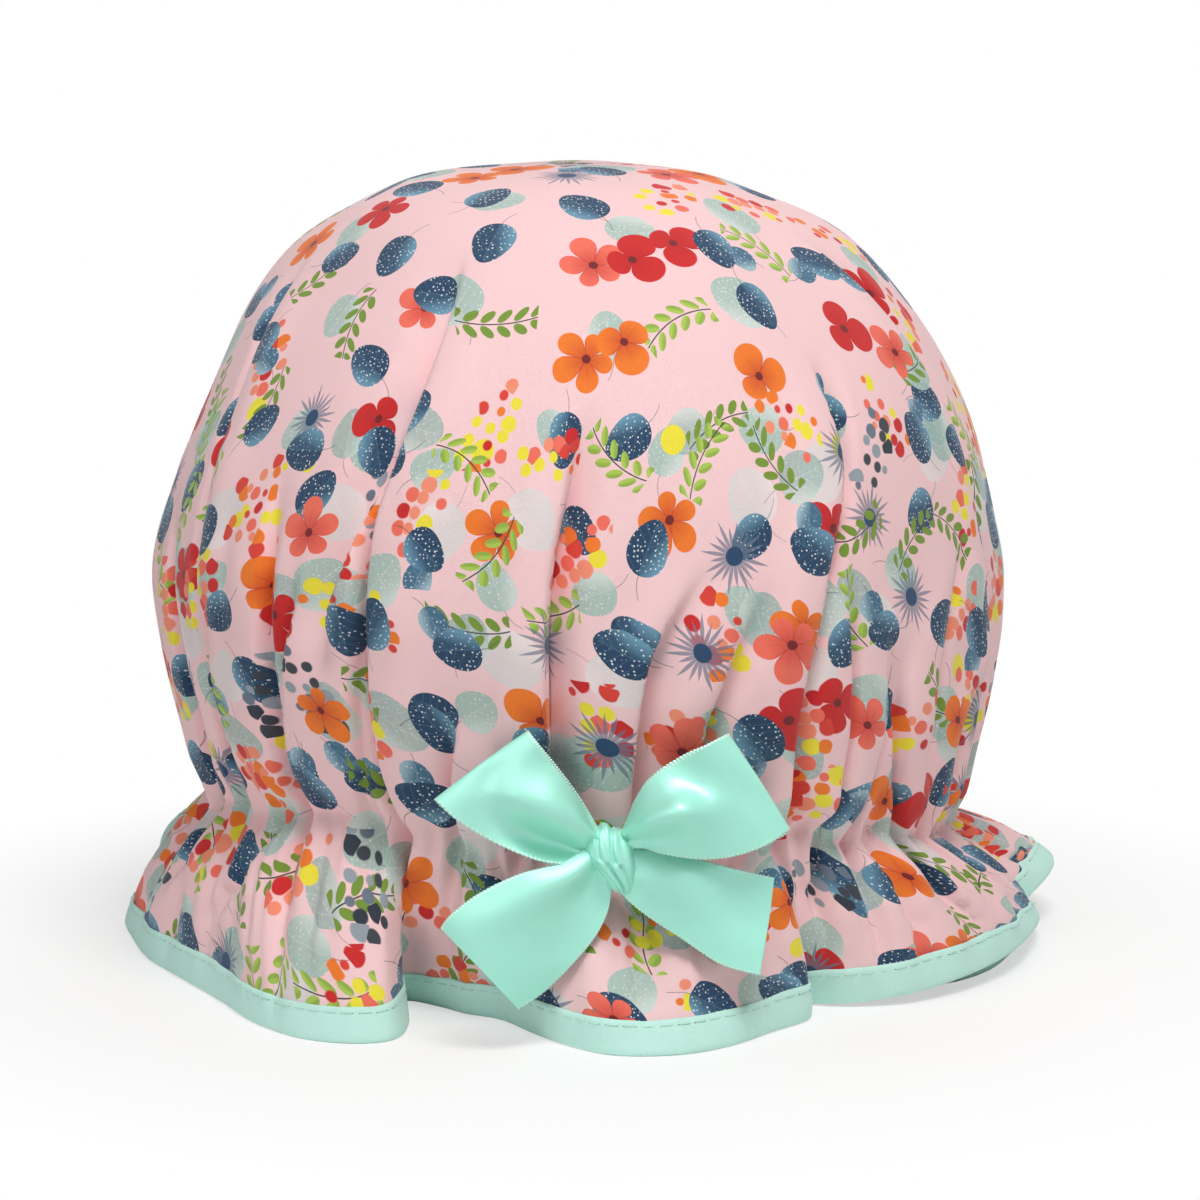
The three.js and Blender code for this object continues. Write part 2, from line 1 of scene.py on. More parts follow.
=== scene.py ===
import bpy
import numpy as np
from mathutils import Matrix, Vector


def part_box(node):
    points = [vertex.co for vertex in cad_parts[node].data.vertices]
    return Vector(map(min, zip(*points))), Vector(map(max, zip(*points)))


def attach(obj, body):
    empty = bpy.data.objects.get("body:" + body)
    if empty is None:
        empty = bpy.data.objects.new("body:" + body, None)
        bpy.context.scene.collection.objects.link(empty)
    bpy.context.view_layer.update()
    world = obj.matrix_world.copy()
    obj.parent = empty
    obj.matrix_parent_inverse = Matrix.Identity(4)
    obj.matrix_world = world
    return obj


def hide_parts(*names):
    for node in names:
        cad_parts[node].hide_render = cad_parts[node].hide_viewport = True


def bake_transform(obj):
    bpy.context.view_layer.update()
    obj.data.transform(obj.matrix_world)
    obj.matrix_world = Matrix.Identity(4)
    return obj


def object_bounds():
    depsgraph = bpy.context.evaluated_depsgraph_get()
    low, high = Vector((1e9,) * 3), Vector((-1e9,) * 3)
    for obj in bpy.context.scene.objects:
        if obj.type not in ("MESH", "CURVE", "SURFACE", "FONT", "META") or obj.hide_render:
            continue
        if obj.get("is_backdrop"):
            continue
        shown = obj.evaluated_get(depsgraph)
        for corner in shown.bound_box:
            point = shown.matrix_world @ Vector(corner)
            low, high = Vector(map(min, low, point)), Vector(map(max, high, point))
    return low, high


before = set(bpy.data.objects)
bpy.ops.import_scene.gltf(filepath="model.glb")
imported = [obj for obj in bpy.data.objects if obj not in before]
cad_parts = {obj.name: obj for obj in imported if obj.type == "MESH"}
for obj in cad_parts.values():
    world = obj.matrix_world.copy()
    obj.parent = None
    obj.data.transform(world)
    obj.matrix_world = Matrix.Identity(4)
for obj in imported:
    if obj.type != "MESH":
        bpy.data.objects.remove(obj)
cad_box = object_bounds()

# Camera, lights and floor. The photograph is taken from in front and a little above, with a long lens, on a white
# sweep under large soft lamps. Sizes here are metres.

CAMERA_DISTANCE = 1.2
CAMERA_RISE = np.radians(8.8)
PICTURE_WIDTH = 0.3934
SENSOR = 36

low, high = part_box("elastic_band")
AXIS = np.array([(low.x + high.x) / 2, (low.y + high.y) / 2])
AIM = np.array([AXIS[0] + 0.0062, AXIS[1], 0.1116])

camera = bpy.data.objects.new("camera", bpy.data.cameras.new("camera"))
camera.location = AIM + CAMERA_DISTANCE * np.array([0, -np.cos(CAMERA_RISE), np.sin(CAMERA_RISE)])
camera.rotation_euler = (np.pi / 2 - CAMERA_RISE, 0, 0)
camera.data.sensor_width = SENSOR
camera.data.lens = SENSOR * CAMERA_DISTANCE / PICTURE_WIDTH
bpy.context.scene.collection.objects.link(camera)
bpy.context.scene.camera = camera
bpy.context.scene.view_settings.view_transform = "Standard"


def softbox(name, place, size, power, tint):
    """Square lamp at a place, turned to face the cap's middle."""
    lamp = bpy.data.objects.new(name, bpy.data.lights.new(name, "AREA"))
    lamp.data.size, lamp.data.energy, lamp.data.color = size, power, tint
    lamp.location = place
    way = AIM - np.array(place)
    flat = np.hypot(way[0], way[1])
    lamp.rotation_euler = (np.arctan2(flat, -way[2]), 0, np.arctan2(-way[0], way[1]))
    bpy.context.scene.collection.objects.link(lamp)


softbox("key_lamp", (0.2, -0.6, 1.3), 0.5, 12.5, (1, 0.985, 0.96))
softbox("fill_lamp", (-0.8, -1.2, 0.6), 0.7, 3, (0.98, 0.99, 1))
softbox("back_lamp", (0.3, 1.1, 1.0), 0.8, 3.5, (1, 1, 1))

# The cap is lit by an even grey sky, and the camera, glossy and clear surfaces see plain white in its place
AMBIENT = 0.16
world = bpy.data.worlds.new("studio")
bpy.context.scene.world = world
world.use_nodes = True
sky = world.node_tree
sky.nodes["Background"].inputs["Strength"].default_value = AMBIENT
sky.nodes["Background"].inputs["Color"].default_value = (1, 1, 1, 1)
white = sky.nodes.new("ShaderNodeBackground")
white.inputs["Color"].default_value = (1, 1, 1, 1)
rays = sky.nodes.new("ShaderNodeLightPath")
seen = sky.nodes.new("ShaderNodeMixShader")
shown = rays.outputs["Is Camera Ray"]
for kind in ("Is Glossy Ray", "Is Transmission Ray"):
    either = sky.nodes.new("ShaderNodeMath")
    either.operation = "MAXIMUM"
    sky.links.new(shown, either.inputs[0])
    sky.links.new(rays.outputs[kind], either.inputs[1])
    shown = either.outputs[0]
sky.links.new(shown, seen.inputs[0])
sky.links.new(sky.nodes["Background"].outputs[0], seen.inputs[1])
sky.links.new(white.outputs[0], seen.inputs[2])
sky.links.new(seen.outputs[0], sky.nodes["World Output"].inputs[0])

# The floor is lit near the cap, so that it keeps the shadow, and runs out into plain white further off
LIT_WITHIN, WHITE_BEYOND, NEAR_GLOW = 0.15, 0.27, 0.55
floor_mesh = bpy.data.meshes.new("floor")
floor_mesh.from_pydata([(-9, -9, 0), (9, -9, 0), (9, 9, 0), (-9, 9, 0)], [], [(0, 1, 2, 3)])
floor = bpy.data.objects.new("floor", floor_mesh)
bpy.context.scene.collection.objects.link(floor)
floor.location.z = cad_box[0][2]
sweep = bpy.data.materials.new("white_sweep")
sweep.use_nodes = True
nodes, links = sweep.node_tree.nodes, sweep.node_tree.links
nodes["Principled BSDF"].inputs["Base Color"].default_value = (0.97, 0.97, 0.97, 1)
nodes["Principled BSDF"].inputs["Roughness"].default_value = 0.9
place, reach, fade = (nodes.new(f"ShaderNode{kind}") for kind in ("TexCoord", "VectorMath", "MapRange"))
rays, glow, share, seen = (nodes.new(f"ShaderNode{kind}") for kind in ("LightPath", "Emission", "Math", "MixShader"))
reach.operation, share.operation = "LENGTH", "MULTIPLY"
fade.inputs["From Min"].default_value, fade.inputs["From Max"].default_value = LIT_WITHIN, WHITE_BEYOND
fade.inputs["To Min"].default_value = NEAR_GLOW
links.new(place.outputs["Object"], reach.inputs[0])
links.new(reach.outputs["Value"], fade.inputs["Value"])
links.new(fade.outputs[0], share.inputs[0])
links.new(rays.outputs["Is Camera Ray"], share.inputs[1])
links.new(share.outputs[0], seen.inputs[0])
links.new(nodes["Principled BSDF"].outputs[0], seen.inputs[1])
links.new(glow.outputs[0], seen.inputs[2])
links.new(seen.outputs[0], nodes["Material Output"].inputs["Surface"])
floor.data.materials.append(sweep)
floor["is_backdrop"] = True

# Printed cotton. One round of thin cotton is cut flat, gathered on an elastic 57 mm inside its edge, and puffed out
# above it. Sizes from here on are millimetres, and an angle round the cap is 0 at the bow and grows towards +X.

MM = 0.001
WAIST_HEIGHT, WAIST_RADIUS, CROWN_TOP, FRILL_SLANT = 44, 121.5, 254, 57
CROWN_OUTLINE = [
    (121.5, 44), (128, 66), (134, 94), (136, 124), (130, 157), (119, 186), (103, 213), (83, 234), (57, 247),
    (29, 253), (0, 254),
]
CROWN_LEAN = -5
COLUMNS = 800
# How far the crown's foot is pulled up and down, how far it puffs out above the elastic, and how far up that is
FOOT_PULL, PUFF, PUFF_RISE = 2.6, 2.4, 10

# Folds drawn up from the gather line. Each has the side on which the cloth stands over it (1 before it, -1 after
# it), its depth, the width over which it fills up again, and its path upwards: angle and distance up the cloth.
FOLDS = [
    (1, 6, 9, [(-46, 0), (-48, 20), (-46.5, 66), (-46, 90), (-46.5, 122)]),
    (-1, 5, 5, [(-43.5, 0), (-42.8, 17), (-41, 45), (-38, 71), (-35, 96)]),
    (1, 4, 9, [(-33, 0), (-32, 38), (-29.5, 75), (-29, 108), (-28, 122)]),
    (-1, 10, 9, [(-24, 0), (-25.5, 30), (-25, 70), (-24.5, 105), (-22.5, 130), (-19, 172)]),
    (1, 9, 13, [(-6, 0), (-5.4, 50), (-5, 90), (-3.6, 120), (-1.5, 150)]),
    (1, 7, 13, [(5, 0), (6.2, 40), (8, 67), (12, 85), (17, 104)]),
    (1, 6, 12, [(13, 0), (15, 42), (17.5, 60), (20, 74), (24, 94)]),
    (1, 10, 9, [(28, 0), (27.5, 40), (29, 65), (31.5, 92), (35, 125), (36.5, 165)]),
    (1, 6, 6, [(36, 0), (36.6, 35), (36, 70), (35.5, 98)]),
    (1, 7, 6, [(41, 0), (43, 28), (43.6, 50), (43, 74)]),
    (-1, 7, 7, [(56, 0), (55, 9), (51.4, 28), (49.8, 48), (50.5, 70)]),
    (1, 6, 9, [(54, 42), (54.2, 55), (55, 68), (58, 84), (62, 104)]),
    (1, 7, 8, [(67, 0), (64, 30), (66, 46), (71, 66), (75, 84)]),
    (1, 7, 12, [(73, 20), (70, 60), (67, 96), (65.3, 125), (63, 156), (60, 184), (57, 212)]),
    (-1, 6, 16, [(-32, 70), (-28.5, 102), (-24.5, 132), (-20.5, 166), (-18, 205)]),
    (-1, 6, 10, [(-56, 20), (-57.5, 90), (-59, 125), (-60, 165), (-63, 200)]),
    (1, 5, 7, [(-62, 0), (-61, 30), (-59, 60), (-57, 82)]),
    (1, 7, 8, [(-72, 0), (-71, 35), (-73, 80), (-76, 104)]), (-1, 7, 8, [(-79, 0), (-80, 30), (-84, 78), (-86, 120)]),
    (-1, 6, 7, [(-16, 0), (-15.5, 25), (-13.5, 52)]), (1, 4, 6, [(-10.5, 0), (-11, 22), (-12, 44)]),
    (1, 5, 7, [(21, 0), (22.5, 22), (23.5, 46)]), (1, 6, 8, [(82, 0), (81, 35), (84, 90), (82, 125)]),
    (-1, 7.2, 9, [(93.5, 0), (93.5, 28), (91.4, 81)]), (1, 8.2, 6.1, [(102.1, 0), (103.4, 39), (98.8, 111)]),
    (-1, 6, 11.1, [(109.3, 0), (108.9, 16), (112.9, 45)]), (-1, 7.8, 8.4, [(116.7, 0), (118, 35), (117.2, 99)]),
    (1, 8, 7.4, [(124.2, 0), (124.9, 37), (125.6, 105)]),
    (-1, 8.4, 10.1, [(134.4, 0), (134.3, 41), (132.2, 117)]),
    (-1, 6.2, 9.8, [(143.1, 0), (142, 18), (144.7, 51)]),
    (-1, 9.6, 9.8, [(149.9, 0), (149.6, 54), (152.3, 153)]),
    (-1, 6.6, 7.2, [(158.5, 0), (158.2, 22), (160.9, 63)]),
    (-1, 9.4, 8.3, [(171.9, 0), (172.5, 51), (172.8, 147)]),
    (1, 6.4, 11.6, [(178.8, 0), (180.2, 20), (180.6, 57)]),
    (1, 9.2, 10.9, [(-174.7, 0), (-175.8, 49), (-173, 141)]),
    (-1, 10, 11.1, [(-165.1, 0), (-165.4, 58), (-164.7, 165)]),
    (-1, 7, 8.9, [(-153.8, 0), (-152.5, 26), (-155.3, 75)]),
    (1, 9, 8.4, [(-145.6, 0), (-147.1, 47), (-146.3, 135)]),
    (1, 8.8, 9.8, [(-137.3, 0), (-136, 45), (-133.9, 129)]),
    (-1, 6.8, 8, [(-130.9, 0), (-129.5, 24), (-133.4, 69)]),
    (-1, 7.6, 10.9, [(-121.8, 0), (-122.9, 33), (-122.6, 93)]),
    (-1, 8.6, 6.4, [(-112.3, 0), (-111.2, 43), (-109.7, 123)]),
    (-1, 7.4, 6.8, [(-106.8, 0), (-106.7, 30), (-108.7, 87)]),
    (1, 9.8, 9, [(-95.7, 0), (-95.6, 56), (-98.9, 159)]),
]

# The hem as it lies: for points in order round it, the angle at the gather line that the cloth hangs from, and the
# angle, radius and height of the hem itself. Where the angle turns back, the frill folds over itself.
HEM = [
    (-176, -178, 140, 0), (-168, -171, 152, 0), (-159, -161, 150, 0), (-152, -150, 132, 0), (-146, -145, 119, 0),
    (-140, -141, 134, 3), (-131, -132, 157, 11), (-121, -122, 167, 19), (-112, -113, 160, 14),
    (-107, -107, 143, 5), (-102, -105, 138, 1), (-97, -103, 150, 0), (-90, -96, 154, 0), (-83, -86, 148, 0),
    (-75, -75, 144, 0), (-66, -63, 140, 0), (-57, -51, 142, 0), (-49, -41, 150, 0), (-41, -33, 155, 0),
    (-35, -26.5, 153, 0), (-30, -22.5, 144, 0), (-27, -24, 127, 0), (-24.5, -29.5, 112, 0), (-22, -31, 103, 0),
    (-19.5, -25, 104, 0), (-16.5, -18.5, 109, 0), (-12.5, -12, 113, 0), (-8, -6, 127, 0), (-3, -1, 140, 0),
    (3, 4, 150, 0), (10, 11, 152, 0), (17, 17.5, 147, 0), (23, 25, 137, 0), (27, 31.5, 131, 0),
    (29.5, 34, 124, 0), (32, 32.5, 116, 0), (35, 35.5, 113, 0), (39, 41, 126, 1), (45, 48, 137, 3),
    (52, 57, 143, 5), (59, 67, 147, 6.5), (66, 77, 149, 7), (71.5, 86, 151, 6), (74.5, 90.5, 151, 3.5),
    (76.5, 88, 146, 1), (78.5, 79, 142, 0), (80.5, 68, 139, 0), (82.5, 60, 134, 0), (84.5, 58.5, 128, 0),
    (87, 65, 126, 0), (90.5, 77, 132, 3), (94.5, 89, 146, 10), (99, 97, 160, 17), (105, 105, 164, 18),
    (111, 112, 157, 13), (117, 119, 144, 6), (123, 125, 127, 1), (130, 131, 134, 0), (138, 139, 150, 0),
    (148, 148, 152, 0), (156, 157, 142, 0), (163, 165, 122, 0), (171, 172, 124, 0),
]


def smooth(x):
    """Rises from 0 to 1 as x does, level at both ends: three times its square less twice its cube."""
    x = np.clip(x, 0, 1)
    return x * x * (3 - 2 * x)


def bell(x):
    """Bell curve, 1 in its middle: e to the power of minus half the square."""
    return np.exp(-x * x / 2)


def turned(angle):
    """The same angle from -180 to 180 degrees."""
    return (angle + 180) % 360 - 180


def around(angle, radius, height):
    """Points at an angle in degrees, a radius and a height round the cap's axis."""
    angle = np.radians(angle)
    return np.stack(np.broadcast_arrays(radius * np.sin(angle), -radius * np.cos(angle), height), -1)


def through(points, shares, closed=False):
    """Catmull-Rom curve: each stretch is the cubic between two neighbouring points, whose slope at a point is half
    the step from the point before it to the point after it."""
    points = np.asarray(points, float)
    spans = len(points) if closed else len(points) - 1
    place = np.asarray(shares, float) * spans
    start = np.clip(np.floor(place).astype(int), 0, spans - 1)
    t = (place - start).reshape(-1, *[1] * (points.ndim - 1))
    pick = (lambda k: points[(start + k) % len(points)]) if closed else (
        lambda k: points[np.clip(start + k, 0, len(points) - 1)])
    a, b, c, d = pick(-1), pick(0), pick(1), pick(2)
    return (2 * b + (c - a) * t + (2 * a - 5 * b + 4 * c - d) * t**2 + (3 * b - a - 3 * c + d) * t**3) / 2


def ripple(points, size, seed):
    """Soft unevenness between about -1 and 1: a sum of sine waves with random directions and phases, whose lengths
    lie near a size."""
    rng = np.random.default_rng(seed)
    ways = rng.normal(size=(12, 3))
    ways *= (rng.uniform(0.6, 1.5, 12) * 2 * np.pi / size / np.linalg.norm(ways, axis=1))[:, None]
    return np.sin(points @ ways.T + rng.uniform(0, 2 * np.pi, 12)).sum(-1) / 3.5


def waist_height(angle):
    """The gather line dips to the right and rises a little on each side of the bow."""
    turn = np.radians(angle)
    rise = 9 * bell(turned(angle + 38) / 20) + 7 * bell(turned(angle - 42) / 14)
    return WAIST_HEIGHT + 4 * np.cos(turn) - 4 * np.sin(turn) + rise


outline = through(CROWN_OUTLINE, np.linspace(0, 1, 800))
outline_up = np.concatenate([[0], np.cumsum(np.linalg.norm(np.diff(outline, axis=0), axis=1))])
CROWN_LENGTH = outline_up[-1]

# Gathers at the elastic: each one's angle, how far it runs up the crown and down the frill, its depth and its width
rng = np.random.default_rng(5)
gathers = [
    (a, *rng.uniform(10, 30, 2), rng.uniform(1.6, 4.4), rng.uniform(1.2, 2.4))
    for a in np.arange(-180, 180, 3.6) + rng.uniform(-1.4, 1.4, 100)
]
FOLD_WALL, DEEPEST = 2.2, 16


def fold_shape(angle, up):
    """How far the folds draw the crown in, and how far they push it sideways. From the edge that stands over it, a
    fold drops along a steep wall and rises again gently. The edge swells out and leans over the wall."""
    span = np.radians(1) * np.interp(up, outline_up, outline[:, 0])
    depth, shift = 0, 0
    for side, deep, gentle, path in FOLDS:
        path = through(path, np.linspace(0, 1, 40))
        low, high = path[0, 1], path[-1, 1]
        off = side * turned(angle - np.interp(up, path[:, 1], path[:, 0])) * span
        fade = smooth((high - up) / min(45, (high - low) * 0.6)) * (1 if low == 0 else smooth((up - low + 25) / 35))
        deep = 1.15 * deep * fade * (0.5 + 0.5 * smooth(up / 22))
        wall = FOLD_WALL + 3 * (1 - fade)
        fall = np.where(off < wall, smooth(off / wall), 1 - smooth((off - wall) / gentle))
        depth = depth + deep * (fall - 0.3 * bell((off + 5) / 4.5))
        shift = shift + side * 0.4 * deep * (bell(off / 2.8) - 0.3 * bell((off - wall - 2) / 3))
    depth = DEEPEST * np.tanh(depth / DEEPEST)
    for low, above, _, deep, wide in gathers:
        off = turned(angle - low) * span
        depth = depth + deep * smooth(1 - up / above) * bell(off / wide / (1 + up / above))
    return depth, shift / span


def leaning(height):
    """How far the crown's middle stands to the right of the axis: its top leans left, and the side below it right."""
    return 5.5 * bell((height - 187) / 30) + CROWN_LEAN * smooth((height - WAIST_HEIGHT) / (CROWN_TOP - WAIST_HEIGHT))


def crown(angle, up):
    """The crown's outline turned round the axis, with its foot on the gather line and its top leaning, drawn in by
    the folds and crumpled a little. Its foot is pulled up and down unevenly, and puffs out above the elastic."""
    radius, height = np.interp(up, outline_up, outline[:, 0]), np.interp(up, outline_up, outline[:, 1])
    high = smooth((height - WAIST_HEIGHT) / (CROWN_TOP - WAIST_HEIGHT))
    height = height + (waist_height(angle) - WAIST_HEIGHT) * (1 - high)
    ring = around(angle + 0 * radius, WAIST_RADIUS, 0)
    height = height + FOOT_PULL * ripple(ring, 34, 12) * np.exp(-up / 14)
    depth, shift = fold_shape(angle, up)
    depth = depth - PUFF * bell((up - PUFF_RISE) / 6) * (0.6 + 0.5 * ripple(ring, 26, 14))
    points = around(angle + shift * smooth(up / 8), radius - depth * smooth(radius / 40), height)
    points[..., 0] += leaning(height)
    crumple = 0.7 * ripple(points * (1, 1, 0.45), 60, 3) + 0.3 * ripple(points * (1, 1, 0.6), 17, 4) * (1 - high)
    outwards = points * (1, 1, 0) / np.maximum(np.linalg.norm(points[..., :2], axis=-1), 20)[..., None]
    outwards[..., 2] = high * 0.6
    return points + outwards * (crumple * smooth(up / 12))[..., None]


# The hem's places are joined by a fine curve, and the columns are spaced along it by the angle at the gather line, by
# the hem's length and by the crowding of the crown's folds
FINE = 9001
hem_points = np.array([(*around(a, r, z), np.sin(np.radians(w)), np.cos(np.radians(w))) for w, a, r, z in HEM])
fine = through(hem_points, np.linspace(0, 1, FINE), closed=True)
fine_waist = np.degrees(np.unwrap(np.arctan2(fine[:, 3], fine[:, 4])))
fine_hem = np.concatenate([[0], np.cumsum(np.linalg.norm(np.diff(fine[:, :3], axis=0), axis=1))])
crowd = np.cumsum(sum(bell(turned(fine_waist - path[len(path) // 2][0]) / 2.2) for _, _, _, path in FOLDS))
evenly = 0.35 * (fine_waist - fine_waist[0]) / 360 + 0.4 * fine_hem / fine_hem[-1] + 0.25 * crowd / crowd[-1]
columns = np.interp(np.arange(COLUMNS) / COLUMNS, evenly, np.arange(FINE))
waist_angle = np.interp(columns, np.arange(FINE), fine_waist)
hem_line = np.stack([np.interp(columns, np.arange(FINE), fine[:, k]) for k in range(3)], -1)
waist_line = crown(waist_angle, np.zeros(COLUMNS))
slants = np.linalg.norm(hem_line - waist_line, axis=-1)


# The frill's folds run down from the gather line, so their paths hold the angle and the distance below it
FRILL_FOLDS = [
    (-1, 5, 10, [(-46, 0), (-51, 15), (-61, 44)]), (-1, 2.5, 14, [(-34, 0), (-36, 20), (-38, 50)]),
    (-1, 4, 7, [(-68, 0), (-70, 14), (-74, 36)]),
    (1, 4, 7, [(-12, 0), (-12, 14), (-11, 34)]), (-1, 3, 6, [(-3, 0), (-3, 10), (-3, 22)]),
    (1, 3, 6, [(6, 0), (7, 10), (8, 26)]), (-1, 4, 7, [(16, 0), (17, 12), (18, 34)]),
    (-1, 5, 7, [(38, 0), (37.5, 14), (37, 36)]), (1, 4, 8, [(45, 0), (45.5, 20), (46, 46)]),
    (-1, 4, 8, [(56, 0), (57, 18), (59, 42)]), (1, 3.5, 7, [(65, 0), (66, 14), (68, 34)]),
    (1, 4, 7, [(92, 0), (94, 16), (97, 40)]), (-1, 4, 7, [(112, 0), (111, 14), (110, 36)]),
    (1, 4, 8, [(134, 0), (135, 16), (138, 44)]), (-1, 4, 8, [(158, 0), (157, 16), (156, 40)]),
    (1, 4, 8, [(-174, 0), (-173, 14), (-172, 40)]), (-1, 4, 8, [(-146, 0), (-147, 16), (-149, 42)]),
    (1, 4, 7, [(-118, 0), (-117, 14), (-116, 36)]), (-1, 4, 7, [(-92, 0), (-94, 16), (-97, 42)]),
]


def frill(above_hem):
    """The frill's outer face at distances above the hem, for rows of all the columns: straight from the gather line
    to the hem, with a rounded flare, folds, and the gathers running out into it."""
    down = 1 - above_hem / slants
    points = waist_line + (hem_line - waist_line) * down[..., None]
    below = down * slants
    sideways = np.roll(points, -1, axis=1) - np.roll(points, 1, axis=1)
    steps = np.linalg.norm(sideways, axis=-1)
    walked = np.cumsum(steps / 2, axis=1)
    sideways /= np.maximum(steps, 1e-6)[..., None]
    inwards, shift = np.zeros_like(below), np.zeros_like(below)
    for low, _, reach, deep, wide in gathers:
        off = turned(waist_angle - low) * np.radians(120)
        inwards += 0.7 * deep * (smooth(1 - below / reach) - (1 - down)) * bell(off / wide / 1.4 / (1 + below / reach))
    for side, deep, gentle, path in FRILL_FOLDS:
        path = through(path, np.linspace(0, 1, 40))
        centre = np.interp(below, path[:, 1], path[:, 0])
        off = turned(waist_angle - centre)
        nearest = np.abs(off).argmin(1)[:, None]
        length = np.abs(walked - np.take_along_axis(walked, nearest, 1))
        off = side * np.where(np.abs(off) < 40, np.sign(off) * length, 1e3)
        fade = smooth((path[-1, 1] - below) / (0.5 * path[-1, 1])) * smooth(below / 6 + 0.4)
        wall = FOLD_WALL + steps
        fall = np.where(off < wall, smooth(off / wall), 1 - smooth((off - wall) / gentle))
        inwards += deep * fade * (fall - 0.35 * bell((off + 5) / 4.5)) * smooth(below / 8)
        shift += side * 0.35 * deep * fade * bell(off / 2.8) * smooth(below / 8)
    crumple = 0.8 * ripple(points, 34, 8) + 0.25 * ripple(points, 11, 9)
    flare = 3.5 * np.sin(np.pi * np.clip(down, 0, 1)) - inwards + crumple * smooth(below / 10) * smooth((1 - down) * 3)
    flat = points * (1, 1, 0)
    outwards = flat / np.linalg.norm(flat, axis=-1, keepdims=True)
    return points + outwards * flare[..., None] + sideways * shift[..., None]


def outward(grid):
    """Direction square to a grid of rows from the top down and columns round the cap."""
    down = np.gradient(grid, axis=0)
    sideways = np.roll(grid, -1, axis=1) - np.roll(grid, 1, axis=1)
    square = np.cross(down, sideways)
    return square / np.maximum(np.linalg.norm(square, axis=-1, keepdims=True), 1e-9)


def quads(rows, cols, ring=False):
    """Rows and columns of the four corners of each face of a grid, down one side and up the next. The columns close
    into a ring, and the rows may."""
    i, j = np.meshgrid(np.arange(rows if ring else rows - 1), np.arange(cols), indexing="ij")
    down, aside = (i + 1) % rows, (j + 1) % cols
    return np.stack([i, down, down, i], -1).reshape(-1, 4), np.stack([j, j, aside, aside], -1).reshape(-1, 4)


def sheet_mesh(name, grid, around_cap, down_cloth, top=False, ring=False, inside_out=False):
    """Cloth through a grid of rows and columns that closes round the cap. It may close over its top row, and its last
    row may join its first. Its UV map holds the share of the way round and the distance down the cloth."""
    rows, cols = grid.shape[:2]
    row, col = quads(rows, cols, ring)
    faces = row * cols + col
    u = around_cap[row, col] + (col < col[:, :1])
    v = down_cloth[row + rows * (row < row[:, :1])]
    if inside_out:
        faces, u, v = faces[:, ::-1], u[:, ::-1], v[:, ::-1]
    points, loops, starts = grid.reshape(-1, 3), faces.reshape(-1), np.arange(len(faces)) * 4
    u, v = u.reshape(-1), v.reshape(-1)
    if top:
        here = np.arange(cols)
        fan = np.stack([np.full(cols, len(points)), here, (here + 1) % cols], -1)
        ahead = np.roll(around_cap[0], -1) + (here == cols - 1)
        fan_u = np.stack([(around_cap[0] + ahead) / 2, around_cap[0], ahead], -1)
        fan_v = np.tile([0, down_cloth[0], down_cloth[0]], (cols, 1))
        if inside_out:
            fan, fan_u, fan_v = fan[:, ::-1], fan_u[:, ::-1], fan_v[:, ::-1]
        points = np.vstack([points, grid[0].mean(0)])
        starts = np.concatenate([starts, len(loops) + here * 3])
        loops = np.concatenate([loops, fan.reshape(-1)])
        u, v = np.concatenate([u, fan_u.reshape(-1)]), np.concatenate([v, fan_v.reshape(-1)])
    return build(name, points, loops, starts, np.stack([u, v], -1))


def build(name, points, loops, starts, uv):
    """Piece from points in millimetres round the cap's axis and from the corners of its faces, one after another."""
    mesh = bpy.data.meshes.new(name)
    mesh.vertices.add(len(points))
    mesh.vertices.foreach_set("co", ((points + (*AXIS / MM, 0)) * MM).astype(np.float32).ravel())
    mesh.loops.add(len(loops))
    mesh.loops.foreach_set("vertex_index", loops.astype(np.int32))
    mesh.polygons.add(len(starts))
    mesh.polygons.foreach_set("loop_start", starts.astype(np.int32))
    mesh.polygons.foreach_set("use_smooth", np.ones(len(starts), bool))
    mesh.uv_layers.new(name="cloth").data.foreach_set("uv", uv.astype(np.float32).ravel())
    mesh.update()
    mesh.validate()
    piece = bpy.data.objects.new(name, mesh)
    bpy.context.scene.collection.objects.link(piece)
    return piece


def way_round(grid):
    """Share of the way round that each point of a row has come, along the row."""
    steps = np.linalg.norm(np.roll(grid, -1, axis=1) - grid, axis=-1)
    return (np.cumsum(steps, axis=1) - steps) / steps.sum(1, keepdims=True)


def steadied(way, down, reach):
    """Each row's shares taken as the mean of those of the rows near by, so that threads run straight down the cloth."""
    near = bell((down[:, None] - down) / reach)
    return near / near.sum(1, keepdims=True) @ way


# The grid's rows stand closer together near the crown's foot, and its last row lies just inside the binding
CROWN_ROWS, FRILL_ROWS, EDGE_GAP = 92, 26, 1.6
crown_up = CROWN_LENGTH * (1 - np.linspace(0.012, 1, CROWN_ROWS)) ** 1.15
frill_shares = np.linspace(1, 0, FRILL_ROWS + 1)[1:, None]
cotton_grid = np.concatenate([
    crown(waist_angle, crown_up[:, None]),
    frill(EDGE_GAP + frill_shares * (slants - EDGE_GAP)),
])
cotton_down = np.concatenate([CROWN_LENGTH - crown_up, CROWN_LENGTH + FRILL_SLANT * (1 - frill_shares[:, 0])]) * MM
cotton_way = steadied(way_round(cotton_grid), cotton_down / MM, 40)
cotton = sheet_mesh("printed_cotton_cloth", cotton_grid, cotton_way, cotton_down, top=True)
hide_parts("crown_cloth", "frill_cloth")
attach(cotton, "cap")


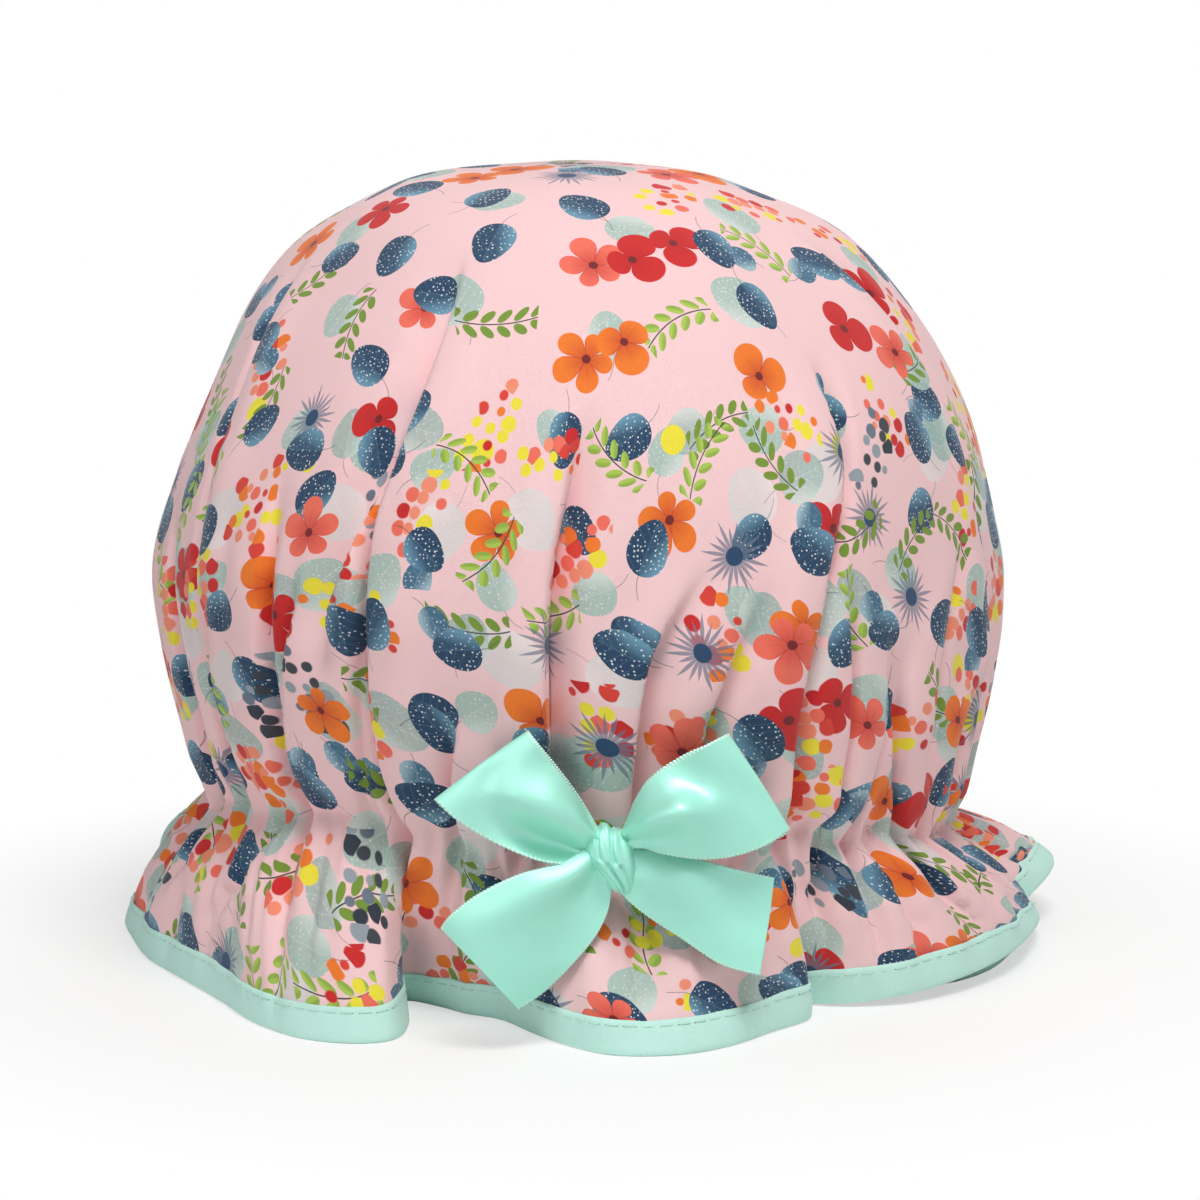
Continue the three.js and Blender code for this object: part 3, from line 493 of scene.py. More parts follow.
class Wire:
    """A node's output that can be reckoned with: +, -, * and / put a Math node after it."""

    def __init__(self, tree, socket):
        self.tree, self.socket = tree, socket

    def __add__(self, other): return maths(self.tree, "ADD", self, other)
    def __radd__(self, other): return maths(self.tree, "ADD", other, self)
    def __sub__(self, other): return maths(self.tree, "SUBTRACT", self, other)
    def __rsub__(self, other): return maths(self.tree, "SUBTRACT", other, self)
    def __mul__(self, other): return maths(self.tree, "MULTIPLY", self, other)
    def __rmul__(self, other): return maths(self.tree, "MULTIPLY", other, self)
    def __truediv__(self, other): return maths(self.tree, "DIVIDE", self, other)
    def __rtruediv__(self, other): return maths(self.tree, "DIVIDE", other, self)
    def __pow__(self, other): return maths(self.tree, "POWER", self, other)
    def __lt__(self, other): return maths(self.tree, "LESS_THAN", self, other)
    def __gt__(self, other): return maths(self.tree, "GREATER_THAN", self, other)


def node(tree, kind, inputs=(), **settings):
    """Node of a kind with its settings, and with its inputs, by place or name, joined to wires or set to values."""
    made = tree.nodes.new("ShaderNode" + kind)
    for name, value in settings.items():
        setattr(made, name, value)
    for name, value in (inputs.items() if isinstance(inputs, dict) else enumerate(inputs)):
        if isinstance(value, Wire):
            tree.links.new(value.socket, made.inputs[name])
        elif value is not None:
            made.inputs[name].default_value = value
    return made


def wire(made, output=0):
    """A node's output, by place or name."""
    return Wire(made.id_data, made.outputs[output])


def maths(tree, operation, *values, **settings):
    """Output of a Math node put after the values."""
    return wire(node(tree, "Math", values, operation=operation, **settings))


def clipped(x):
    """The value held between 0 and 1."""
    return maths(x.tree, "ADD", x, 0, use_clamp=True)


def unary(operation):
    """Function that puts a Math node with one input after a value."""
    return lambda x: maths(x.tree, operation, x)


sine, cosine, floored, size_of, root = map(unary, ("SINE", "COSINE", "FLOOR", "ABSOLUTE", "SQRT"))


def larger(a, b):
    """The greater of two values."""
    return maths(a.tree, "MAXIMUM", a, b)


def parts(vector):
    """The three parts of a vector or colour. Parts that nothing uses cost nothing."""
    return tuple(wire(node(vector.tree, "VectorMath", [vector, way], operation="DOT_PRODUCT"), "Value")
                 for way in ((1, 0, 0), (0, 1, 0), (0, 0, 1)))


def vector(tree, x, y, z=0.0):
    """Three values joined into a vector."""
    return wire(node(tree, "CombineXYZ", [x, y, z]))


def inked(tree, under, ink, cover):
    """One colour laid over another where the cover says so."""
    return wire(node(tree, "Mix", {0: cover, 6: under, 7: ink}, data_type="RGBA"), 2)


def linear(red, green, blue):
    """Colour as a picture writes it, from 0 to 255, as the light value that Blender uses."""
    return (*(((c / 255 + 0.055) / 1.055) ** 2.4 if c > 10 else c / 255 / 12.92 for c in (red, green, blue)), 1)


def group(name, inputs, outputs):
    """Node group with named inputs and outputs, a kind and a value for each input."""
    tree = bpy.data.node_groups.new(name, "ShaderNodeTree")
    for label, (kind, value) in inputs.items():
        socket = tree.interface.new_socket(label, in_out="INPUT", socket_type="NodeSocket" + kind)
        socket.default_value = value
    for label, kind in outputs.items():
        tree.interface.new_socket(label, in_out="OUTPUT", socket_type="NodeSocket" + kind)
    entry, leave = tree.nodes.new("NodeGroupInput"), tree.nodes.new("NodeGroupOutput")
    return tree, {label: Wire(tree, entry.outputs[label]) for label in inputs}, leave


def put_out(tree, leave, **values):
    """Joins values to a group's outputs by name."""
    for label, value in values.items():
        tree.links.new(value.socket, leave.inputs[label])


def use(tree, shared, **inputs):
    """Shared group placed in a tree with its own inputs."""
    return node(tree, "Group", inputs, node_tree=shared)


# Motifs are strewn over the flat cloth one to a cell, each moved and turned by chance. Cells count round the cap, so
# that the print has no seam; on the crown's top they lie on the flat round instead.
PRINT_ROUND = 1080
tree, given, leave = group(
    "strewn_motif",
    {"Place": ("Vector", (0, 0, 0)), "Around": ("Float", 16), "Seed": ("Float", 0), "Room": ("Float", 10),
     "Round": ("Float", 0), "From": ("Float", 0), "To": ("Float", 1000)},
    {"Local": "Vector", "Chance": "Color", "Here": "Float"})
x, y, _ = parts(given["Place"])
cell = PRINT_ROUND / given["Around"]
row = floored(y / cell + given["Seed"] * 0.37)
bond = given["Seed"] * 0.61 + 0.5 * maths(tree, "FLOORED_MODULO", row, 2.0)
x = x / cell + bond
y = y / cell + given["Seed"] * 0.37
column = floored(x)
wrapped = maths(tree, "FLOORED_MODULO", column, given["Around"])
label = vector(tree, wrapped + 7.3, row + given["Seed"] * 11.7 + 3.1, given["Round"] * 5.7)
chance = node(tree, "TexWhiteNoise", {"Vector": label}, noise_dimensions="3D")
spare = node(tree, "TexWhiteNoise", {"Vector": wire(chance, "Color")}, noise_dimensions="3D")
red, green, blue = parts(wire(chance, "Color"))
play = larger(1 - 2 * given["Room"] / cell, 0.0)
off_x, off_y = (red - 0.5) * play, (green - 0.5) * play
local = vector(tree, (x - column - 0.5 - off_x) * cell, (y - row - 0.5 - off_y) * cell)
local = wire(node(tree, "VectorRotate", {"Vector": local, "Angle": blue * (2 * np.pi)}, rotation_type="Z_AXIS"))
middle_x = (column + 0.5 + off_x - bond) * cell
middle_y = (row + 0.5 + off_y - given["Seed"] * 0.37) * cell
from_top = wire(node(tree, "VectorMath", [vector(tree, middle_x, middle_y)], operation="LENGTH"), "Value")
reach = middle_y + (from_top - middle_y) * given["Round"]
put_out(tree, leave, Local=local, Chance=wire(spare, "Color"),
        Here=(reach > given["From"]) * (reach < given["To"]))
strewn_motif = tree

# A plain rounded leaf that pales to one side, with a midrib, side veins and a thin bent stalk
tree, given, leave = group("leaf", {"Local": ("Vector", (0, 0, 0)), "Long": ("Float", 8), "Broad": ("Float", 0.7)},
                           {"Blade": "Float", "Light": "Float", "Veins": "Float", "Stalk": "Float"})
x, y, _ = parts(given["Local"])
along = x / given["Long"]
edge = given["Broad"] * given["Long"] * larger(1 - along * along, 0.0) ** 0.5 * (1 - 0.18 * along)
branches = clipped((0.3 - size_of(sine((x - size_of(y) * 0.8) * (np.pi / 3.1)))) / 0.2)
rib = clipped((0.28 - size_of(y)) / 0.15)
side = y / given["Long"]
put_out(tree, leave, Blade=clipped((edge - size_of(y)) / 0.25),
        Light=clipped(1.5 * side - 0.5 * along - 0.25) + clipped(y / 0.5) * 0.1,
        Veins=clipped(rib + branches * 0.6) * (size_of(along) < 0.85),
        Stalk=clipped((0.26 - size_of(y - (along + 1) * (along + 1) * 4)) / 0.2) * (along < -0.95) * (along > -1.8))
leaf = tree

# A simple open flower with uneven rounded petals
tree, given, leave = group(
    "flower", {"Local": ("Vector", (0, 0, 0)), "Wide": ("Float", 10), "Half": ("Float", 2.5), "Bias": ("Float", 0)},
    {"Petals": "Float", "Deep": "Float", "Heart": "Float"})
x, y, _ = parts(given["Local"])
turn = maths(tree, "ARCTAN2", y, x)
far = root(x * x + y * y)
lobe = size_of(cosine(turn * given["Half"])) ** 0.35
rim = given["Wide"] * (0.22 + 0.78 * lobe) * (0.84 + 0.16 * cosine(turn + given["Bias"] * 6.0))
crease = clipped((0.5 - size_of(sine(turn * given["Half"])) * 4) * 1.2) * clipped(1.3 - far / given["Wide"] * 1.6)
put_out(tree, leave, Petals=clipped((rim - far) / 0.3),
        Deep=clipped(clipped(1.1 - far / given["Wide"] * 1.7) * 0.7 + clipped(0.72 - lobe) * 1.2 + crease * 0.5),
        Heart=clipped((given["Wide"] * 0.13 - far) / 0.3))
flower = tree

# An aster seen from above, with thin pointed rays
tree, given, leave = group("aster", {"Local": ("Vector", (0, 0, 0)), "Wide": ("Float", 11)},
                           {"Rays": "Float", "Heart": "Float"})
x, y, _ = parts(given["Local"])
turn = maths(tree, "ARCTAN2", y, x) * (21 / 2 / np.pi)
far = root(x * x + y * y)
aside = size_of(turn - floored(turn) - 0.5) * far * (2 * np.pi / 21)
reach = given["Wide"] * (0.85 + 0.15 * sine(floored(turn) * 2.3))
breadth = 0.62 * sine(clipped(far / reach) * np.pi) + 0.08
put_out(tree, leave, Rays=clipped((breadth - aside) / 0.2) * (far < reach) * (far > 2.0),
        Heart=clipped((3.1 - far) / 0.25))
aster = tree

# A bent sprig with a stem and pairs of small leaflets
tree, given, leave = group("sprig", {"Local": ("Vector", (0, 0, 0)), "Long": ("Float", 13)},
                           {"Leaflets": "Float", "Stem": "Float", "Inner": "Float"})
x, y, _ = parts(given["Local"])
y = y - x * x / given["Long"] * 0.22
pitch = 5.4
side_x = (x / pitch - floored(x / pitch) - 0.5) * pitch
side_y = size_of(y) - 2.7
turned_x, turned_y = side_x * 0.74 + side_y * 0.67, side_y * 0.74 - side_x * 0.67
blob = 1 - (turned_x / 3.0) ** 2.0 - (turned_y / 1.45) ** 2.0
inside = size_of(x) < given["Long"]
put_out(tree, leave, Leaflets=clipped(blob * 6) * inside, Stem=clipped((0.3 - size_of(y)) / 0.15) * inside,
        Inner=clipped((turned_y + 0.3) * 1.5))
sprig = tree

# A loose cluster of round berries
tree, given, leave = group("berries", {"Local": ("Vector", (0, 0, 0)), "Spread": ("Float", 9), "Pitch": ("Float", 4),
                                       "Chance": ("Color", (0, 0, 0, 1))},
                           {"Berry": "Float", "Pick": "Float", "Shade": "Float"})
shift = node(tree, "VectorMath", [given["Chance"], (9.0, 9.0, 0)], operation="MULTIPLY")
scaled = wire(node(tree, "VectorMath", {0: given["Local"], "Scale": 1 / given["Pitch"]}, operation="SCALE"))
moved = wire(node(tree, "VectorMath", [scaled, wire(shift)], operation="ADD"))
cells = node(tree, "TexVoronoi", {"Vector": moved, "Scale": 1.0, "Randomness": 0.7}, voronoi_dimensions="2D")
size, pick, _ = parts(wire(cells, "Color"))
back = wire(node(tree, "VectorMath", [wire(cells, "Position"), wire(shift)], operation="SUBTRACT"))
middle_x, middle_y, _ = parts(back)
from_line = root((middle_x * 0.75) ** 2.0 + (middle_y * 1.5) ** 2.0) * given["Pitch"]
radius = 0.28 + 0.34 * size
put_out(tree, leave, Berry=clipped((radius - wire(cells, "Distance")) * 12) * (from_line < given["Spread"]),
        Pick=pick, Shade=clipped(wire(cells, "Distance") / radius))
berries = tree


def ramp(tree, value, colours):
    """Even choice among colours."""
    made = node(tree, "ValToRGB", [value])
    made.color_ramp.interpolation = "CONSTANT"
    for k, colour in enumerate(colours):
        spot = made.color_ramp.elements[k] if k < 2 else made.color_ramp.elements.new(k / len(colours))
        spot.position, spot.color = k / len(colours), linear(*colour)
    return wire(made)


SAGE, PALE_SAGE, GREY_LEAF, WHITE_LEAF = (166, 196, 187), (206, 222, 216), (214, 225, 223), (240, 240, 240)
DEEP_BLUE, MID_BLUE, DULL_BLUE, LIGHT_BLUE = (24, 60, 92), (104, 152, 178), (66, 108, 136), (160, 190, 204)
INK, STEM, SPECK = (54, 60, 70), (60, 70, 56), (246, 248, 250)
RED, ORANGE, CORAL, YELLOW = (206, 30, 32), (244, 124, 34), (244, 112, 92), (243, 228, 58)
DEEP_RED, FLOWER_HEART, ASTER_RAY, ASTER_HEART = (186, 22, 26), (112, 18, 24), (98, 116, 140), (28, 66, 102)
OLIVE, LIME = (118, 150, 50), (172, 203, 84)


def strewn(given, around, seed, room):
    """Motifs strewn so many round the cloth, with their places, their chances and whether they are wanted there."""
    made = use(given["Place"].tree, strewn_motif, Place=given["Place"], Around=float(around), Seed=float(seed),
               Room=float(room), Round=given["Round"], From=given["From"], To=given["To"])
    red, green, blue = parts(wire(made, "Chance"))
    return wire(made, "Local"), wire(made, "Chance"), red, green, blue, wire(made, "Here")


def lying(local, angle, x, y):
    """Place seen from a motif that is moved and turned."""
    moved = node(local.tree, "VectorMath", [local, (-x, -y, 0.0)], operation="ADD")
    return wire(node(local.tree, "VectorRotate", {"Vector": wire(moved), "Angle": angle}, rotation_type="Z_AXIS"))


def with_leaf(colour, local, half_length, broad, dark, pale, cover, veins, speckle, specked):
    """A leaf and its stalk laid over the colour where the cover says so, with veins, and with specks if wanted."""
    tree = local.tree
    made = use(tree, leaf, Local=local, Long=half_length, Broad=broad)
    blade = inked(tree, linear(*dark), linear(*pale), wire(made, "Light"))
    blade = inked(tree, blade, linear(*pale), wire(made, "Veins") * veins)
    if specked:
        blade = inked(tree, blade, linear(*SPECK), speckle * specked)
    colour = inked(tree, colour, linear(*INK), wire(made, "Stalk") * cover * 0.6)
    return inked(tree, colour, blade, wire(made, "Blade") * cover)


def with_motifs(colour, given, speckle, around, seed, all_kinds):
    """One motif to a cell: leaves or a flower, and where all kinds are wanted also a sprig, berries or an aster."""
    tree = speckle.tree
    local, chance, kind, green, blue, here = strewn(given, around, seed, 12)
    is_leaf, is_pair = (kind < 0.33) * here, (kind < 0.15) * here
    colour = with_leaf(colour, lying(local, 1.9, 6.0, 6.5), 6.2, 0.8, DULL_BLUE, LIGHT_BLUE, is_pair, 0.3, speckle, 0.6)
    colour = with_leaf(colour, lying(local, 0.0, 1.5, -1.0), 8.0 + 1.4 * blue, 0.8, DEEP_BLUE, MID_BLUE, is_leaf, 0.3,
                       speckle, 0.8)
    is_flower = (kind > 0.51) * (kind < 0.68) * here
    made = use(tree, flower, Local=local, Wide=10.8 + 2.6 * blue, Half=1.5 + 1.0 * (green > 0.45), Bias=blue)
    petal = inked(tree, ramp(tree, green, [RED, ORANGE, RED, CORAL, ORANGE]), linear(*DEEP_RED),
                  wire(made, "Deep") * 0.8)
    colour = inked(tree, colour, petal, wire(made, "Petals") * is_flower)
    colour = inked(tree, colour, linear(*FLOWER_HEART), wire(made, "Heart") * is_flower)
    if not all_kinds:
        return colour
    is_sprig = (kind > 0.33) * (kind < 0.51) * here
    made = use(tree, sprig, Local=local, Long=13.5)
    leaflet = inked(tree, ramp(tree, green, [OLIVE, LIME]), linear(*OLIVE), 0.5 * wire(made, "Inner"))
    colour = inked(tree, colour, linear(*STEM), wire(made, "Stem") * is_sprig)
    colour = inked(tree, colour, leaflet, wire(made, "Leaflets") * is_sprig)
    is_berries = (kind > 0.68) * (kind < 0.9) * here
    made = use(tree, berries, Local=local, Spread=12.5, Pitch=5.6, Chance=chance)
    warm = ramp(tree, wire(made, "Pick"), [CORAL, RED, ORANGE, (248, 146, 116), YELLOW, (222, 62, 50)])
    dark = ramp(tree, wire(made, "Pick"), [INK, (104, 118, 134), (150, 160, 170), (36, 46, 60)])
    colour = inked(tree, colour, inked(tree, dark, warm, green > 0.2), wire(made, "Berry") * is_berries)
    is_aster = (kind > 0.9) * here
    made = use(tree, aster, Local=local, Wide=12.5)
    colour = inked(tree, colour, linear(*ASTER_RAY), wire(made, "Rays") * is_aster * 0.75)
    return inked(tree, colour, linear(*ASTER_HEART), wire(made, "Heart") * is_aster)


def print_group(name, pale, dots, motifs):
    """Node group of a printed ground: layers of pale leaves, one of yellow dots, then layers of motifs."""
    tree, given, leave = group(
        name, {"Ground": ("Color", (1, 1, 1, 1)), "Place": ("Vector", (0, 0, 0)), "Round": ("Float", 0),
               "From": ("Float", 0), "To": ("Float", 1000)}, {"Color": "Color"})
    specks = node(tree, "TexVoronoi", {"Vector": given["Place"], "Scale": 1 / 1.5, "Randomness": 1.0},
                  voronoi_dimensions="2D")
    size, kept, _ = parts(wire(specks, "Color"))
    speckle = clipped((0.1 + 0.16 * size - wire(specks, "Distance")) * 16) * (kept > 0.35)
    colour = given["Ground"]
    for around, seed, long, dark, light, strong, least, specked in pale:
        local, _, red, green, _, here = strewn(given, around, seed, 12.5)
        cover = here * (green > least) * strong
        colour = with_leaf(colour, local, long + 3 * red, 0.85, dark, light, cover, 0.5, speckle, specked)
    for around, seed in dots:
        local, _, red, green, _, here = strewn(given, around, seed, 6)
        x, y, _ = parts(local)
        dot = clipped((3.4 + 1.6 * red - root(x * x + y * y)) / 0.3)
        colour = inked(tree, colour, linear(*YELLOW), dot * here * (green > 0.55))
    for around, seed, all_kinds in motifs:
        colour = with_motifs(colour, given, speckle, around, seed, all_kinds)
    put_out(tree, leave, Color=colour)
    return tree


side_print = print_group(
    "side_print",
    [(19, 1, 9.0, GREY_LEAF, WHITE_LEAF, 0.6, 0.0, 0.0), (25, 2, 7.5, SAGE, PALE_SAGE, 0.9, 0.0, 0.6),
     (22, 3, 8.0, (150, 182, 176), PALE_SAGE, 0.8, 0.3, 0.4)],
    [(21, 6)], [(35, 4, True), (37, 5, True)])
top_print = print_group(
    "top_print", [(23, 2, 8.0, SAGE, PALE_SAGE, 0.9, 0.0, 0.6)], [], [(37, 4, True), (34, 5, False)])

# Plain weave: threads that pass over and under each other, with small unevenness in their colour and height
tree, given, leave = group("weave", {"Place": ("Vector", (0, 0, 0)), "Thread": ("Float", 0.4)},
                           {"Height": "Float", "Fleck": "Float"})
x, y, _ = parts(given["Place"])
warp, weft = sine(x * np.pi / given["Thread"]), sine(y * np.pi / given["Thread"])
slub = wire(node(tree, "TexNoise", {"Vector": given["Place"], "Scale": 0.9, "Detail": 3.0}, noise_dimensions="2D"))
fuzz = wire(node(tree, "TexNoise", {"Vector": given["Place"], "Scale": 3.4, "Detail": 2.0}, noise_dimensions="2D"))
put_out(tree, leave, Height=warp * weft * 0.5 + slub + fuzz * 0.5, Fleck=slub * 0.5 + fuzz * 0.5)
weave = tree


def finish(name, **values):
    """Material with its shader's plain values set. Their names are the sockets' own, with _ for a space."""
    made = bpy.data.materials.new(name)
    made.use_nodes = True
    shader = made.node_tree.nodes["Principled BSDF"]
    for label, value in values.items():
        shader.inputs[label.replace("_", " ")].default_value = value
    return made, made.node_tree, shader


def roughened(tree, shader, height, deep):
    """Bump whose height is in millimetres."""
    made = node(tree, "Bump", {"Height": height, "Distance": deep * MM, "Strength": 1.0})
    tree.links.new(made.outputs[0], shader.inputs["Normal"])


PINK = (250, 209, 212)
cloth_paint, tree, shader = finish("printed_cotton", Roughness=0.82, Sheen_Weight=0.15)
u, v, _ = parts(wire(node(tree, "UVMap", uv_map="cloth")))
metres = v / MM
place_side = vector(tree, u * PRINT_ROUND, metres)
place_top = vector(tree, metres * cosine(u * 2 * np.pi), metres * sine(u * 2 * np.pi))
TOP_REACH = 140
side = use(tree, side_print, Ground=linear(*PINK), Place=place_side, Round=0.0, From=float(TOP_REACH), To=1000.0)
top = use(tree, top_print, Ground=wire(side), Place=place_top, Round=1.0, From=-1.0, To=float(TOP_REACH))
tree.links.new(top.outputs[0], shader.inputs["Base Color"])
threads = use(tree, weave, Place=place_side, Thread=0.42)
roughened(tree, shader, wire(threads, "Height"), 0.06)
cotton.data.materials.append(cloth_paint)

# Lining. A second round of coated nylon, cut like the cotton, lies inside it and keeps the water out. The elastic's
# casing holds it at the gather line and the binding at the hem.

LINING_GAP, PLEATS, PLEAT_HALF = 1.1, 92, 2.7


def spread(values, reach=3):
    """Each place's mean with its neighbours along the row."""
    return sum(np.roll(values, k, axis=1) for k in range(-reach, reach + 1)) / (2 * reach + 1)


def lowest_near(values, reach):
    """Each place's lowest neighbour along the row, softened."""
    return spread(spread(np.min([np.roll(values, k, axis=1) for k in range(-reach, reach + 1)], axis=0)))


def inside_of(grid):
    """Softer face inside a grid of rows and columns: the grid's own face without its sharp turns, drawn in until it
    clears the lowest places near by."""
    soft = spread(spread(grid))
    square = outward(soft)
    return soft + square * lowest_near(((grid - soft) * square).sum(-1), 8)[..., None]


# Even angles round the cap for the pieces inside it
EVEN = np.linspace(-180, 180, 720, endpoint=False)


def girdle(grid, angles=EVEN, centre=0.0):
    """The same for rows that run once round an axis at or near the cap's: at each angle, the least radius near by."""
    x, y, z = grid[..., 0] - centre, grid[..., 1], grid[..., 2]
    turn, radius = np.degrees(np.arctan2(x, -y)), np.hypot(x, y)
    level = [np.stack([np.interp(EVEN, t, v, period=360) for t, v in zip(turn, values)]) for values in (radius, z)]
    radius, z = lowest_near(level[0], 6), spread(level[1])
    radius, z = (np.stack([np.interp(angles, EVEN, row, period=360) for row in values]) for values in (radius, z))
    return around(angles, radius, z) + np.stack(np.broadcast_arrays(centre, 0, 0 * z), -1)


lean = leaning(np.interp(crown_up, outline_up, outline[:, 1]))
crown_inside = girdle(cotton_grid[:CROWN_ROWS], waist_angle, lean[:, None])
frill_grid = cotton_grid[CROWN_ROWS:]
free = smooth((1 - frill_shares) * slants / 12)[..., None]
edge = smooth((frill_shares * slants - 12) / 10)[..., None]
frill_inside = inside_of(frill_grid) * edge + frill_grid * (1 - edge)
frill_inside = girdle(frill_grid, waist_angle) * (1 - free) + frill_inside * free
lining_grid = np.concatenate([crown_inside, frill_inside])
full = np.concatenate([smooth((crown_up - 10) / 20) * smooth((250 - crown_up) / 90), 0 * frill_shares[:, 0]])
pleated = 1 + np.sin(np.radians(waist_angle) * PLEATS + 2 * np.sin(np.radians(waist_angle) * 7))
gathered = pleated * full[:, None]
lining_grid = lining_grid - outward(lining_grid) * (LINING_GAP + PLEAT_HALF * gathered)[..., None]
lining_grid = lining_grid[::2, ::2]
lining = sheet_mesh(
    "waterproof_lining", lining_grid, cotton_way[::2, ::2], cotton_down[::2], top=True, inside_out=True)
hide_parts("lining_crown", "lining_frill")
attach(lining, "cap")


BLACK, FLECK = (0, 0, 0, 1), 0.12


def cloth_paint_on(piece, name, colour, thread, deep, roughness, sheen, scale):
    """Plain woven cloth in one colour, with its threads counted on the piece's own UV map."""
    made, tree, shader = finish(name, Roughness=roughness, Sheen_Weight=sheen)
    u, v, _ = parts(wire(node(tree, "UVMap", uv_map="cloth")))
    threads = use(tree, weave, Place=vector(tree, u * scale[0], v * scale[1]), Thread=thread)
    tinted = inked(tree, BLACK, linear(*colour), clipped(1 - FLECK * wire(threads, "Fleck")))
    tree.links.new(tinted.socket, shader.inputs["Base Color"])
    roughened(tree, shader, wire(threads, "Height"), deep)
    piece.data.materials.append(made)


cloth_paint_on(lining, "coated_nylon", (238, 240, 240), thread=0.5, deep=0.08, roughness=0.42, sheen=0.0,
               scale=(PRINT_ROUND, 1 / MM))

# Elastic casing. Cotton tape, sewn to the lining along both its edges, makes the channel that holds the elastic. The
# elastic's pull draws it into small gathers.

# Section: height above the gather line, and distance outwards from the lining's inner face
CASING_SECTION = np.array([
    (7.4, -0.15), (7.3, -0.5), (6, -0.85), (4.2, -1.8), (2, -2.2), (-2, -2.2), (-4.2, -1.8), (-6, -0.85), (-7.3, -0.5),
    (-7.4, -0.15), (-6.1, -0.4), (-4.4, -1.4), (-2, -1.85), (2, -1.85), (4.4, -1.4), (6.1, -0.4),
])


def wall(heights):
    """The lining's inner face, in rows for heights above the gather line, or below it where they are negative."""
    face = girdle(np.concatenate([
        crown(waist_angle, np.full((1, COLUMNS), h)) if h >= 0 else frill((slants + h)[None]) for h in heights]))
    return face - outward(face) * (LINING_GAP + 0.3 + 0.25 * ripple(face, 6, 12))[..., None]


def hugging(section, rows_at, heights):
    """Closed section carried round the cap: each of its points lies at a height on the cloth, between the rows at the
    heights, and at a distance outwards, square to the cloth there."""
    level = rows_at(heights)
    square = outward(level)
    place = np.interp(-section[:, 0], -heights, np.arange(len(heights)))
    row = np.clip(place.astype(int), 0, len(heights) - 2)
    part = (place - row)[:, None, None]
    points, ways = (grid[row] * (1 - part) + grid[row + 1] * part for grid in (level, square))
    return points + ways * section[:, 1, None, None]


def ring_band(name, grid):
    """Closed band round the cap, with millimetres round it and across its section in its UV map."""
    length = np.linalg.norm(np.roll(grid, -1, axis=1) - grid, axis=-1).sum(1).mean()
    steps = np.linalg.norm(np.roll(grid, -1, axis=0) - grid, axis=-1).mean(1)
    piece = sheet_mesh(name, grid, way_round(grid), np.concatenate([[0], np.cumsum(steps)]), ring=True)
    return piece, length


band_heights = np.linspace(8, -8, 9)
casing_grid = hugging(CASING_SECTION, wall, band_heights)[::-1]
casing, casing_length = ring_band("elastic_casing_tape", casing_grid)
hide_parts("elastic_casing")
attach(casing, "cap")
cloth_paint_on(casing, "casing_tape", (240, 237, 230), thread=0.6, deep=0.12, roughness=0.85, sheen=0.1,
               scale=(casing_length, 1))

# Elastic. A flat woven band 8 mm wide, joined into a ring a little larger than a head's girth when it is stretched,
# draws both cloths in at the gather line.

ELASTIC_SECTION = np.array([
    (4, -0.65), (4.1, -0.95), (3.9, -1.25), (2, -1.75), (-2, -1.75), (-3.9, -1.25), (-4.1, -0.95), (-4, -0.65),
    (-2, -0.7), (2, -0.7),
])
elastic_grid = hugging(ELASTIC_SECTION, wall, band_heights)[::-1]
elastic, elastic_length = ring_band("woven_elastic", elastic_grid)
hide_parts("elastic_band")
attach(elastic, "cap")
cloth_paint_on(elastic, "woven_elastic", (242, 242, 238), thread=0.8, deep=0.2, roughness=0.7, sheen=0.1,
               scale=(elastic_length, 1))

# Casing seams. Two rows of white thread hold the casing's edges. Inside, the stitches lie on the tape, and outside
# they sink between the gathers.

# Along a stitch: the share of half its length from its middle, of its thickness, and how far it dips into the cloth
STITCH_STATIONS = np.array([
    (-1, 0.05, -0.9), (-0.8, 0.75, -0.3), (-0.35, 1, 0), (0.35, 1, 0), (0.8, 0.75, -0.3), (1, 0.05, -0.9),
])
STITCH_SIDES = 6
OTHER_WAY_ROUND = [0, 3, 2, 1]


